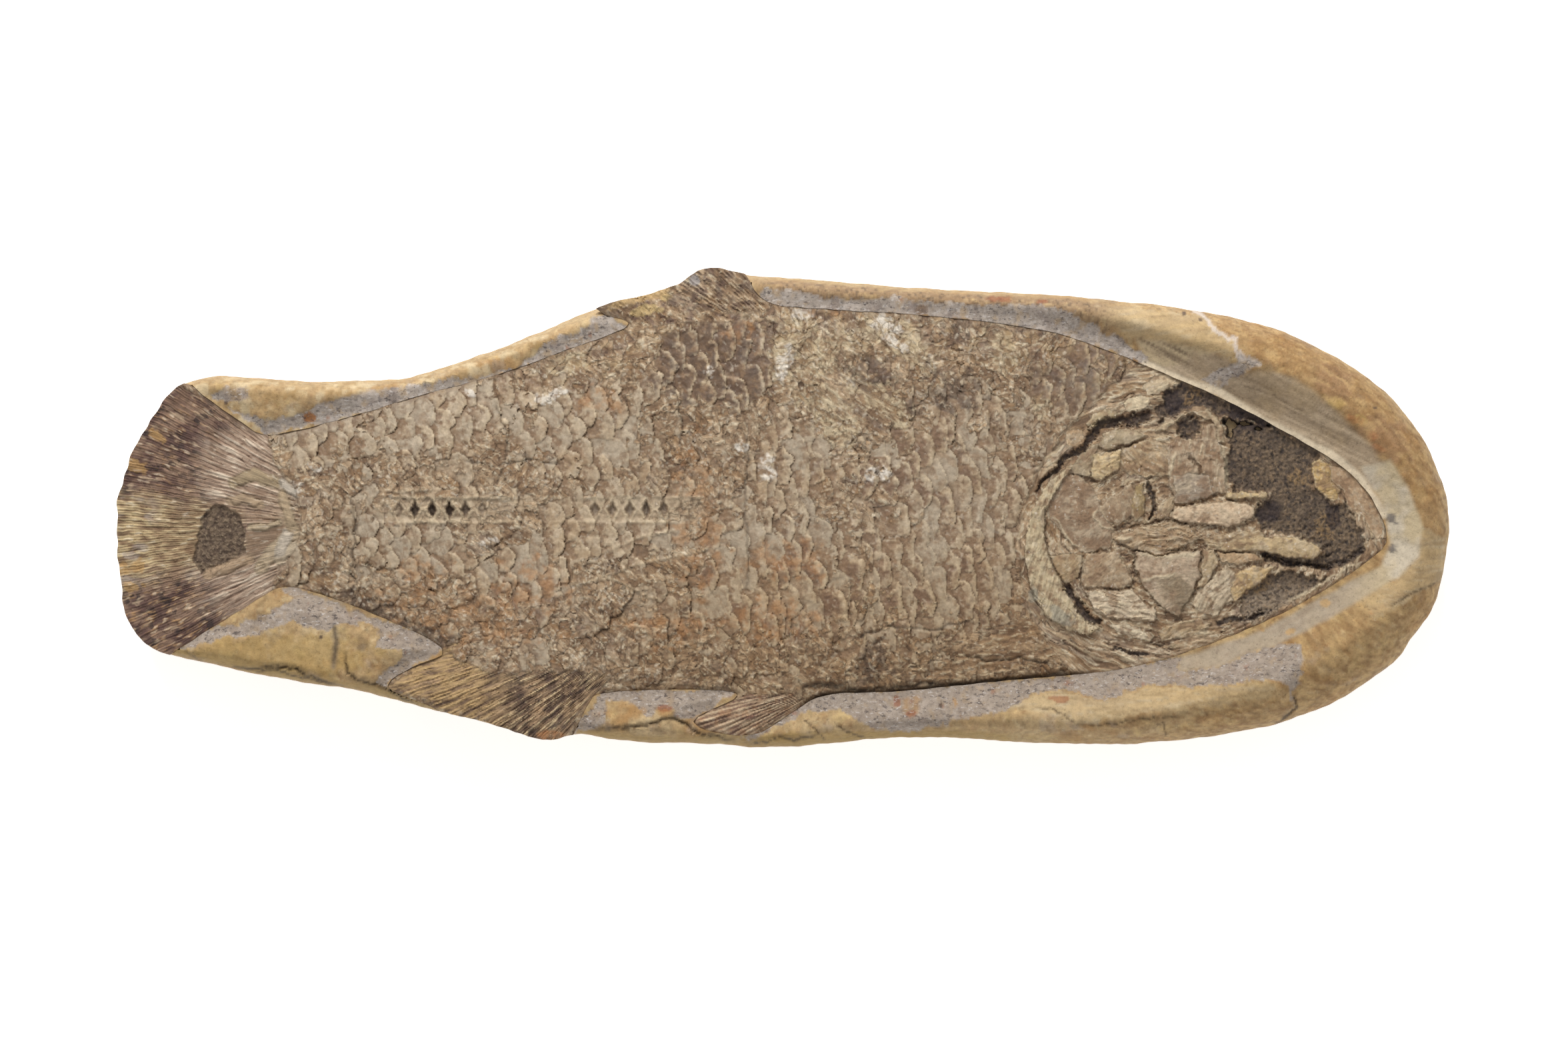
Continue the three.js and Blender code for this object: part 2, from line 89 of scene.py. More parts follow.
# How far the floor under the fish lies below its edge, how far the fish's flat back stays above that
# floor, and how deep its wall turns to plain stone.
FLOOR_DEPTH = 4.0
BACK_LIFT = 0.3
WALL_RING = 0.7
HEAD_FLOOR_DROP = 1.8

BODY_STEP = 0.36
TAIL_STEP = 0.21
HEAD_STEP = 0.29
MARGIN_STEP = 0.52
FOOT_STEP = 3.2
SIDE_RINGS = 15
# Edges that turn by more than this many degrees are drawn sharp.
SHARP_EDGE = 55
# Where the fish is cut into pieces, in mm towards the tail from the frame's origin.
TAIL_SPLIT = 152
BODY_SPLIT = 22.7
# How far the fish's pieces stay inside its outline.
FACE_INSET = 0.04


def along(stations, x):
    """The height at x, from the stations on both sides of it."""
    return np.interp(x, [s[0] for s in stations], [s[1] for s in stations])


def smooth(low, high, value):
    """0 up to low, 1 from high, and a soft step between them. low may be the greater one."""
    t = np.clip((value - low) / (high - low), 0, 1)
    return t * t * (3 - 2 * t)


def bell(distance, width):
    """1 at no distance, falling to 0 over about twice the width."""
    return np.exp(-((distance / width) ** 2))


def faded(share, length):
    """1 along a line, falling to 0 over a share of its length at both ends."""
    return smooth(0, length, share) * smooth(1, 1 - length, share)


def at(px, py):
    """A place in the photo, in mm from the frame's origin."""
    return (px - PHOTO_ORIGIN[0]) / PIXELS_PER_MM, (PHOTO_ORIGIN[1] - py) / PIXELS_PER_MM


def drawn(points):
    """A line through pixels of the photo, in mm."""
    return [at(px, py) for px, py in points]


def placed(draw, rows):
    """The rows of a table, with the line that each begins with in mm."""
    return [(draw(line), *rest) for line, *rest in rows]


# Noise, all of it repeatable.

TABLE_BITS = 9
TABLE = 1 << TABLE_BITS
LUCK = np.random.default_rng(3).random(TABLE * TABLE).astype(np.float32)
TURNS = np.random.default_rng(5).random(TABLE * TABLE).astype(np.float32) * np.float32(2 * math.pi)
TURN_X, TURN_Y = np.cos(TURNS), np.sin(TURNS)


def chance(i, j, seed=0):
    """A number from 0 to 1 for each pair of whole numbers."""
    row = (np.asarray(i, np.int32) + seed * 57) & (TABLE - 1)
    column = (np.asarray(j, np.int32) + seed * 131) & (TABLE - 1)
    return LUCK[(row << TABLE_BITS) | column]


def cells_of(x, y, size):
    """Places within square cells, from 0 to 1, and the cells' numbers."""
    u, v = np.asarray(x / size, np.float32), np.asarray(y / size, np.float32)
    floor_u, floor_v = np.floor(u), np.floor(v)
    return u - floor_u, v - floor_v, floor_u.astype(np.int32), floor_v.astype(np.int32)


def noise(x, y, size, seed=0):
    """Smooth noise between about -1 and 1, with features of a size in mm."""
    u, v, i, j = cells_of(x, y, size)
    i += seed * 37
    j += seed * 101
    su = u * u * u * (u * (u * 6 - 15) + 10)
    sv = v * v * v * (v * (v * 6 - 15) + 10)
    left, right = (i & (TABLE - 1)) << TABLE_BITS, ((i + 1) & (TABLE - 1)) << TABLE_BITS
    lower, upper = j & (TABLE - 1), (j + 1) & (TABLE - 1)
    a, b, c, d = left | lower, right | lower, left | upper, right | upper

    def slope(corner, across, up):
        return TURN_X[corner] * across + TURN_Y[corner] * up

    low = slope(a, u, v) * (1 - su) + slope(b, u - 1, v) * su
    high = slope(c, u, v - 1) * (1 - su) + slope(d, u - 1, v - 1) * su
    return np.float32(1.5) * (low * (1 - sv) + high * sv)


def chips(x, y, size, seed=0):
    """Tilted flakes: their height from about -1 to 1, and a number from 0 to 1 for each."""
    u, v, i, j = cells_of(x, y, size)
    best = np.full(u.shape, 9, np.float32)
    near_x, near_y = np.zeros_like(u), np.zeros_like(u)
    near_i, near_j = i.copy(), j.copy()
    for a in (-1, 0, 1):
        for b in (-1, 0, 1):
            dx = u - a - chance(i + a, j + b, seed)
            dy = v - b - chance(i + a, j + b, seed + 1)
            far = dx * dx + dy * dy
            closer = far < best
            best = np.where(closer, far, best)
            near_x, near_y = np.where(closer, dx, near_x), np.where(closer, dy, near_y)
            near_i, near_j = np.where(closer, i + a, near_i), np.where(closer, j + b, near_j)
    turn = 2 * math.pi * chance(near_i, near_j, seed + 2)
    name = chance(near_i, near_j, seed + 3)
    return 1.5 * (near_x * np.cos(turn) + near_y * np.sin(turn)) + name - 0.5, name


def fractal(x, y, size, octaves, seed=0):
    """Noise of several sizes, each about half the one before."""
    total = np.zeros(x.shape, np.float32)
    strength = 1.0
    for k in range(octaves):
        total += strength * noise(x, y, size / 2.03**k, seed + 17 * k)
        strength *= 0.55
    return total


def turned(x, y, degrees, stretch):
    """Coordinates drawn out along a direction, for fibres and tool strokes."""
    c, s = math.cos(math.radians(degrees)), math.sin(math.radians(degrees))
    return (x * c + y * s) / stretch, -x * s + y * c


def shaken(x, y, far, size, seed):
    """Places moved about by noise, by up to about a distance in mm."""
    return x + far * noise(x, y, size, seed), y + far * noise(x, y, size, seed + 1)


# Outlines and distances to them.

REACH = 6.0


def rounded_line(points, count):
    """A smooth closed line through the points, at even steps."""
    p = np.array(points, float)
    before, after, later = np.roll(p, 1, 0), np.roll(p, -1, 0), np.roll(p, -2, 0)
    t = np.linspace(0, 1, 20, endpoint=False)[:, None, None]
    curve = 0.5 * (
        2 * p
        + (after - before) * t
        + (2 * before - 5 * p + 4 * after - later) * t**2
        + (3 * p - before - 3 * after + later) * t**3
    )
    dense = curve.transpose(1, 0, 2).reshape(-1, 2)
    dense = np.vstack([dense, dense[:1]])
    reach = np.concatenate([[0], np.cumsum(np.hypot(*np.diff(dense, axis=0).T))])
    stops = np.linspace(0, reach[-1], count, endpoint=False)
    return np.column_stack([np.interp(stops, reach, dense[:, 0]), np.interp(stops, reach, dense[:, 1])])


def depth_in(line, x, y):
    """Signed distance to a closed line: positive inside it."""
    p = np.asarray(line, float)
    inside = np.zeros(x.shape, bool)
    least = np.full(x.shape, np.inf)
    for (ax, ay), (bx, by) in zip(np.roll(p, 1, 0), p):
        dx, dy = bx - ax, by - ay
        t = np.clip(((x - ax) * dx + (y - ay) * dy) / (dx * dx + dy * dy), 0, 1)
        least = np.minimum(least, (x - ax - t * dx) ** 2 + (y - ay - t * dy) ** 2)
        if ay != by:
            inside ^= ((ay > y) != (by > y)) & (x < ax + (y - ay) * dx / dy)
    return np.where(inside, 1, -1) * np.sqrt(least)


def near_depth(line, x, y):
    """As depth_in, but never less than -REACH."""
    p = np.asarray(line, float)
    low, high = p.min(0) - REACH, p.max(0) + REACH
    close = (x > low[0]) & (x < high[0]) & (y > low[1]) & (y < high[1])
    depth = np.full(x.shape, -REACH)
    if close.any():
        depth[close] = np.maximum(depth_in(p, x[close], y[close]), -REACH)
    return depth


def beside(line, x, y, reach=8.0):
    """Distance to an open line, and how far along it from 0 to 1."""
    p = np.asarray(line, float)
    low, high = p.min(0) - reach, p.max(0) + reach
    close = (x > low[0]) & (x < high[0]) & (y > low[1]) & (y < high[1])
    cx, cy = x[close], y[close]
    best = np.full(cx.shape, reach)
    place = np.zeros(cx.shape)
    for k, ((ax, ay), (bx, by)) in enumerate(zip(p, p[1:])):
        dx, dy = bx - ax, by - ay
        t = np.clip(((cx - ax) * dx + (cy - ay) * dy) / (dx * dx + dy * dy), 0, 1)
        d = np.hypot(cx - ax - t * dx, cy - ay - t * dy)
        place = np.where(d < best, (k + t) / (len(p) - 1), place)
        best = np.minimum(best, d)
    far = np.full(x.shape, reach)
    far[close] = best
    share = np.zeros(x.shape)
    share[close] = place
    return far, share


class Lattice:
    """Signed distance to an outline, read from a fine lattice of values worked out once."""

    STEP = 0.5
    LOW = (-214.0, -88.0)

    def __init__(self, line):
        self.xs = np.arange(self.LOW[0], 214.1, self.STEP)
        self.ys = np.arange(self.LOW[1], 88.1, self.STEP)
        gx, gy = np.meshgrid(self.xs, self.ys)
        self.values = depth_in(line, gx, gy)

    def __call__(self, x, y):
        u = np.clip((x - self.LOW[0]) / self.STEP, 0, len(self.xs) - 1.001)
        v = np.clip((y - self.LOW[1]) / self.STEP, 0, len(self.ys) - 1.001)
        i, j = u.astype(int), v.astype(int)
        u, v = u - i, v - j
        low = self.values[j, i] * (1 - u) + self.values[j, i + 1] * u
        high = self.values[j + 1, i] * (1 - u) + self.values[j + 1, i + 1] * u
        return low * (1 - v) + high * v


nodule_line = rounded_line(NODULE_OUTLINE, 420)
foot_line = rounded_line(FOOT_OUTLINE, 420)
fish_line = rounded_line(FISH_OUTLINE, 420)
smooth_rim = Lattice(nodule_line)
smooth_fish = Lattice(fish_line)


def rim_depth(x, y):
    """How far a point is inside the nodule's widest outline, with its small bumps."""
    tail = smooth(-178, -190, x)
    bumps = 0.3 * noise(x, y, 9, 3) + 0.15 * noise(x, y, 3, 4)
    scallops = 0.55 * noise(x * 0.2, y, 4.6, 5)
    return smooth_rim(x, y) + bumps + tail * scallops


def fish_depth(x, y):
    """How far a point is inside the edge of the prepared fossil."""
    return smooth_fish(x, y) + 0.18 * noise(x, y, 5, 7)


# Tones, as the eye reads them, in 0 to 255.


def tone(r, g, b):
    """The linear colour of a tone."""
    c = np.array([r, g, b]) / 255
    return np.where(c <= 0.04045, c / 12.92, ((c + 0.055) / 1.055) ** 2.4)


PALE_TAN = tone(182, 163, 135)
ROUGH_BROWN = tone(126, 100, 74)
DARK_BROWN = tone(92, 74, 62)
PLUM_BROWN = tone(88, 66, 62)
RUST = tone(140, 76, 46)
STRAW = tone(193, 167, 118)
LAVENDER = tone(163, 151, 140)
SLATE = tone(98, 92, 90)
OCHRE = tone(174, 146, 106)
PALE_OCHRE = tone(194, 170, 131)
ORANGE_OCHRE = tone(166, 128, 82)
OLIVE = tone(160, 142, 118)
DARK_OLIVE = tone(124, 108, 86)
# Painted shade in crevices and cracks.
CREVICE_SHADE = tone(52, 43, 35)
BLACK = tone(22, 19, 18)


def blend(base, colour, amount):
    """Mixes one colour, or a colour for each point, into the colours by an amount from 0 to 1."""
    return base + (colour - base) * np.clip(amount, 0, 1)[:, None]


def painted(base, *layers):
    """Lays colours over a base, one after the other. Each layer is a colour and its amount.

    A tuple is a tone in 0 to 255, anything else a colour, or colours, as tone() returns them.
    """
    colour = tone(*base) if isinstance(base, tuple) else base
    for shade, amount in layers:
        colour = blend(colour, tone(*shade) if isinstance(shade, tuple) else shade, amount)
    return colour


def spot(x, y, place, ragged=0.35, seed=0):
    """1 inside a ragged oval and 0 outside it. place: centre, half width and height in pixels, turn."""
    px, py, wide, high, turn = place
    cx, cy = at(px, py)
    dx, dy = turned(x - cx, y - cy, turn, 1.0)
    reach = np.hypot(dx / (wide / PIXELS_PER_MM), dy / (high / PIXELS_PER_MM))
    reach = reach + ragged * (noise(x, y, 4.5, seed) + 0.6 * noise(x, y, 1.7, seed + 1))
    return smooth(1.15, 0.75, reach)


def spots(x, y, places, ragged=0.35, seed=0):
    """1 inside any of the ovals."""
    total = np.zeros_like(x)
    for k, place in enumerate(places):
        total = np.maximum(total, spot(x, y, place, ragged, seed + 3 * k))
    return total


# The nodule's margin.

GREY_CUTS = [drawn(line) for line in [
    [(398, 652), (470, 638), (560, 618), (640, 596), (787, 554), (945, 495), (917, 470), (900, 473),
        (868, 498), (815, 515), (794, 540), (763, 556), (690, 568), (618, 579), (535, 590),
        (491, 601), (461, 620), (430, 627), (397, 628), (367, 622), (342, 610)],
    [(318, 590), (345, 579), (372, 583), (368, 600), (340, 604), (322, 600)],
    [(1135, 441), (1147, 451), (1158, 458), (1177, 464), (1259, 470), (1371, 473), (1451, 481),
        (1514, 491), (1600, 506), (1650, 521), (1719, 551), (1721, 537), (1684, 510), (1650, 497),
        (1600, 467), (1546, 456), (1483, 459), (1419, 456), (1339, 446), (1259, 453), (1228, 443),
        (1180, 437), (1150, 435)],
    [(1798, 571), (1829, 585), (1863, 561), (1888, 546), (1870, 534), (1857, 530), (1856, 544),
        (1843, 547), (1822, 558)],
    [(1640, 1008), (1703, 1000), (1770, 983), (1766, 1008), (1829, 1001), (1850, 990), (1885, 976),
        (1914, 966), (1949, 966), (1952, 976), (1954, 997), (1945, 1026), (1938, 1043), (1942, 1061),
        (1931, 1030), (1910, 1019), (1885, 1019), (1836, 1027), (1780, 1029), (1745, 1026),
        (1710, 1029), (1675, 1040), (1640, 1047)],
    [(1105, 1113), (1162, 1082), (1215, 1046), (1231, 1038), (1341, 1034), (1431, 1027),
        (1541, 1019), (1611, 1009), (1720, 993), (1720, 1029), (1651, 1048), (1590, 1033),
        (1549, 1042), (1509, 1066), (1427, 1082), (1366, 1099), (1321, 1095), (1284, 1082),
        (1260, 1066), (1202, 1068), (1174, 1087), (1121, 1111)],
    [(846, 1104), (890, 1060), (904, 1038), (924, 1033), (1016, 1034), (1100, 1034), (1086, 1048),
        (1064, 1064), (1040, 1077), (1016, 1079), (1012, 1065), (996, 1059), (984, 1065),
        (977, 1075), (970, 1075), (938, 1050), (928, 1050), (910, 1055), (911, 1084), (895, 1091),
        (877, 1095)],
    [(419, 880), (450, 882), (498, 904), (538, 918), (604, 940), (672, 970), (652, 983), (626, 998),
        (595, 1016), (578, 1029), (564, 1023), (582, 1005), (604, 988), (604, 977), (564, 970),
        (569, 944), (547, 935), (503, 935), (494, 948), (468, 944), (437, 933), (415, 939),
        (393, 950), (358, 955), (318, 961), (287, 974), (266, 972), (318, 940), (353, 936),
        (384, 930), (419, 913), (441, 900)],
]]
OLIVE_SLOPE = drawn([
    (1700, 505), (1753, 513), (1805, 525), (1843, 540), (1857, 565), (1888, 554), (1943, 568),
    (1977, 592), (2012, 625), (2056, 668), (2080, 700), (2084, 745), (2050, 730), (1994, 678),
    (1891, 627), (1826, 585), (1777, 571), (1719, 546),
])
PALE_BEVEL = drawn([
    (2040, 700), (2075, 760), (2085, 815), (2071, 850), (2026, 872), (1956, 910), (1885, 949),
    (1822, 970), (1770, 987), (1766, 1008), (1829, 1001), (1850, 990), (1885, 976), (1914, 969),
    (1956, 948), (2008, 920), (2043, 896), (2096, 868), (2128, 836), (2134, 790), (2110, 730),
    (2085, 690),
])
STRAW_CRUST = [drawn(line) for line in [
    [(1640, 455), (1700, 462), (1802, 472), (1846, 510), (1850, 540), (1800, 524), (1700, 503),
        (1640, 480)],
    [(1488, 1066), (1549, 1046), (1590, 1037), (1651, 1050), (1720, 1033), (1800, 1032),
        (1915, 1024), (1900, 1046), (1800, 1062), (1700, 1072), (1640, 1086), (1590, 1082),
        (1540, 1064)],
    [(2096, 868), (2128, 836), (2134, 790), (2170, 810), (2165, 870), (2110, 905), (2060, 930),
        (2043, 900)],
]]
CREAM_LIP = drawn([(1719, 548), (1777, 573), (1826, 588), (1891, 630), (1994, 681), (2042, 722),
                   (2074, 772)])
FRACTURE = drawn([(1790, 466), (1801, 472), (1822, 494), (1846, 510), (1857, 530), (1888, 546)])

# Cracks and ledges of the crust: line, depth in mm, half width in mm.
CRACKS = placed(drawn, [
    ([(272, 976), (309, 999), (362, 1003), (441, 1000), (459, 1012), (481, 1021), (520, 1034)],
        1.3, 0.5),
    ([(376, 1010), (410, 1004), (450, 1016), (490, 1026)], 0.6, 0.35),
    ([(520, 974), (521, 1008), (538, 1021), (569, 1027), (582, 1036), (604, 1049), (639, 1060)],
        0.8, 0.4),
    ([(502, 937), (505, 960), (501, 1001)], 0.25, 0.5),
    ([(870, 1096), (911, 1093), (953, 1090), (977, 1085), (1011, 1078), (1030, 1087), (1045, 1099),
        (1084, 1108), (1112, 1112)], 1.1, 0.5),
    ([(1117, 1116), (1147, 1113), (1166, 1106), (1190, 1111), (1207, 1105), (1229, 1105)], 0.8, 0.4),
    ([(1205, 1078), (1222, 1095), (1240, 1112)], 0.5, 0.3),
    ([(1250, 1084), (1270, 1098), (1300, 1106)], 0.5, 0.3),
    ([(1541, 1063), (1575, 1062), (1611, 1082), (1643, 1089), (1720, 1078), (1790, 1070)], 0.4, 0.3),
    ([(1938, 1040), (1945, 1058), (1932, 1070), (1922, 1078), (1910, 1090)], 1.2, 0.45),
    ([(1731, 1090), (1745, 1082), (1750, 1108)], 0.4, 0.3),
    ([(2080, 912), (2120, 890), (2165, 870)], 0.4, 0.35),
    ([(1853, 575), (1905, 592), (1960, 622)], 0.12, 0.25),
])


def margin_marks(x, y):
    """What the margin shows at each point, shared by its relief and its colours."""
    wx = x + 0.8 * noise(x, y, 6, 11) + 0.8 * fractal(x, y, 2.8, 3, 12)
    wy = y + 0.8 * noise(x, y, 6, 13) + 0.8 * fractal(x, y, 2.8, 3, 14)
    grey = np.full(x.shape, -REACH)
    for line in GREY_CUTS:
        grey = np.maximum(grey, near_depth(line, wx, wy))
    sx, sy = shaken(x, y, 0.4, 6, 15)
    marks = {
        "grey": smooth(-0.25, 0.25, grey),
        "slope": smooth(-0.8, 1.2, near_depth(OLIVE_SLOPE, sx, sy)),
        "pale": smooth(-0.8, 0.8, near_depth(PALE_BEVEL, sx, sy)),
        "straw": np.max([smooth(-0.6, 0.6, near_depth(line, wx, wy)) for line in STRAW_CRUST], axis=0),
        "lip": smooth(2.0, 0.7, beside(CREAM_LIP, sx, sy)[0]),
        "fracture": smooth(1.0, 0.3, beside(FRACTURE, wx, wy)[0]),
    }
    crack = np.zeros_like(x)
    drop = np.zeros_like(x)
    for line, deep, half in CRACKS:
        far, share = beside(line, wx * 0.5 + x * 0.5, wy * 0.5 + y * 0.5)
        cut = bell(far, half) * faded(share, 0.12)
        crack = np.maximum(crack, cut * min(1, 0.35 + deep))
        drop = np.maximum(drop, deep * cut)
    marks["crack"] = crack
    marks["drop"] = drop
    return marks


def step_height(x, y):
    """How far the stone stands above the fish where they meet, most of all below the belly."""
    belly = smooth(2, 12, x) * smooth(100, 86, x) * (y < 0)
    return 0.2 + MARGIN_WALL * np.clip(belly + 0.6 * smooth(98, 116, x), 0, 1)


def margin_surface(x, y):
    """Height and marks of the stone round the fish."""
    rim = np.maximum(rim_depth(x, y), 0)
    out = np.maximum(-fish_depth(x, y), 0)
    waist, crest = along(WAIST, x), along(CREST, x)
    inward = 1 - np.minimum(rim / along(SHOULDER, x), 1)
    round_part = waist + (crest - waist) * np.sqrt(1 - inward**2)
    lip = along(FISH_EDGE, x) + step_height(x, y)
    cut = lip + (crest - lip) * smooth(0, 1, out / along(MARGIN, x))
    blunt = 1.2
    height = -blunt * np.logaddexp(-round_part / blunt, -cut / blunt)
    marks = margin_marks(x, y)
    calm = smooth(0, 2.5, rim)
    strokes_x, strokes_y = turned(x, y, -27, 16)
    strokes = fractal(strokes_x, strokes_y, 1.5, 3, 21)
    tooled = np.clip(marks["slope"] + 0.5 * marks["pale"] + 0.35 * marks["straw"], 0, 1)
    u, v = crust_place(x, y, height)
    rough = 0.22 * fractal(u, v, 11, 3, 22) + 0.16 * fractal(u, v, 2.6, 4, 23)
    weather = fractal(*turned(*shaken(u, v, 1, 5, 25), -32, 2.2), 2.6, 4, 92)
    rough = rough + 0.3 * weather * smooth(80, 110, x)
    pits = -0.35 * smooth(0.55, 0.8, noise(u, v, 2.4, 24)) * (1 - tooled)
    height += calm * (0.16 * strokes * tooled + (rough + pits) * (1 - 0.7 * tooled))
    height += calm * 0.3 * (1 - marks["grey"]) * (1 - tooled) - marks["drop"] * smooth(0, 0.8, rim)
    height -= 0.35 * marks["fracture"]
    marks["rim"] = rim
    marks["out"] = out
    marks["strokes"] = strokes
    marks["weather"] = weather
    return height, marks


def crust_place(x, y, z):
    """Each point's place in the crust's flat pattern, with the sides as if they were folded out."""
    down = np.minimum(z - along(CREST, x) + 3, 0)
    out_x, out_y = (x / 200) ** 5, y / 72
    size = np.sqrt(out_x**2 + out_y**2 + 0.25)
    return x + 0.55 * z - down * (out_x / size + 0.55), y - 0.45 * z - down * (out_y / size - 0.45)


def crust_colour(x, y, z):
    """The weathered skin of the nodule, on its face, its sides and its underside."""
    u, v = crust_place(x, y, z)
    # Below the waist the points lie further apart, and carry less of the finest mottling.
    fine = smooth(6, 1, along(WAIST, x) - z)
    colour = painted(
        OCHRE,
        (PALE_OCHRE, 0.75 * smooth(0.0, 0.8, fractal(u, v, 26, 4, 41))),
        (ORANGE_OCHRE, 0.7 * smooth(0.1, 0.9, fractal(u, v, 15, 4, 42))),
        (ROUGH_BROWN, 0.4 * smooth(0.25, 1.0, fractal(u, v, 19, 5, 43))),
        (STRAW, 0.6 * smooth(0.3, 0.9, fractal(u, v, 7, 4, 44))),
        (LAVENDER, 0.35 * smooth(0.45, 0.95, fractal(u, v, 10, 5, 45))),
        ((120, 98, 70), (0.15 + 0.2 * fine) * smooth(0.3, 0.9, fractal(u, v, 2.6, 4, 47))),
        ((204, 184, 146), (0.2 + 0.2 * fine) * smooth(0.3, 0.9, fractal(u, v, 3.4, 4, 48))),
        ((148, 112, 76), 0.5 * fine * smooth(0.3, 0.8, fractal(u, v, 1.5, 3, 49))),
        ((150, 118, 80), 0.5 * (1 - fine) * smooth(0.1, 0.7, fractal(u, v, 7, 2, 50))),
    )
    return colour * (1 + (0.06 + 0.12 * fine) * fractal(u, v, 2.4, 4, 46))[:, None]


# Ovals on the photo, as spot() takes them.
DARK_END = [(1990, 540, 190, 70, -28), (2120, 760, 60, 190, 10)]
REDDISH_END = [(1998, 575, 34, 26, 0), (2075, 660, 46, 34, -40)]
YELLOW_END = [(2003, 604, 13, 11, 0), (2040, 630, 12, 8, -40)]
RUSTY_STREAKS = [
    (2030, 628, 18, 5, -20), (2058, 656, 11, 8, -30), (2066, 672, 14, 4, -25), (2084, 905, 34, 7, 28),
]
OLIVE_CRUST = [(420, 985, 150, 34, 0), (1330, 1108, 200, 12, 0)]
DARK_SLOPE = [(1870, 592, 60, 14, -25)]
PALE_SLOPE = [(1765, 520, 96, 26, 14), (1690, 508, 60, 18, 10)]
AMBER_BEVEL = [(1988, 905, 9, 7, 30), (1935, 948, 8, 5, 20), (1893, 945, 4, 3, 0)]
SLATE_BEVEL = [(2088, 776, 7, 6, 0), (2088, 823, 6, 6, 0), (2093, 785, 4, 3, 0)]
OCHRE_ON_GREY = [
    (940, 1068, 28, 15, 0), (996, 1068, 16, 9, 0), (1362, 1058, 20, 15, 0), (1436, 1062, 3, 17, 20),
    (1460, 1072, 14, 4, 25), (1385, 465, 14, 10, 0),
]
RUST_STAINS = [
    (1365, 1070, 9, 7, 0), (1345, 1052, 5, 8, 0), (1590, 1048, 22, 5, 0), (1500, 449, 16, 6, 0),
    (1562, 453, 12, 4, 0), (996, 1062, 12, 5, 0),
]
BROWN_STAINS = [(545, 963, 11, 11, 0), (393, 922, 14, 9, 0), (458, 612, 5, 5, 0)]
DARK_DOTS = [
    (482, 955, 3.2, 3, 0), (1776, 470, 4, 3, 0), (339, 604, 3, 3, 0), (1800, 480, 2, 2, 0),
    (2062, 612, 3, 2, 0), (1411, 1057, 3, 4, 0),
]


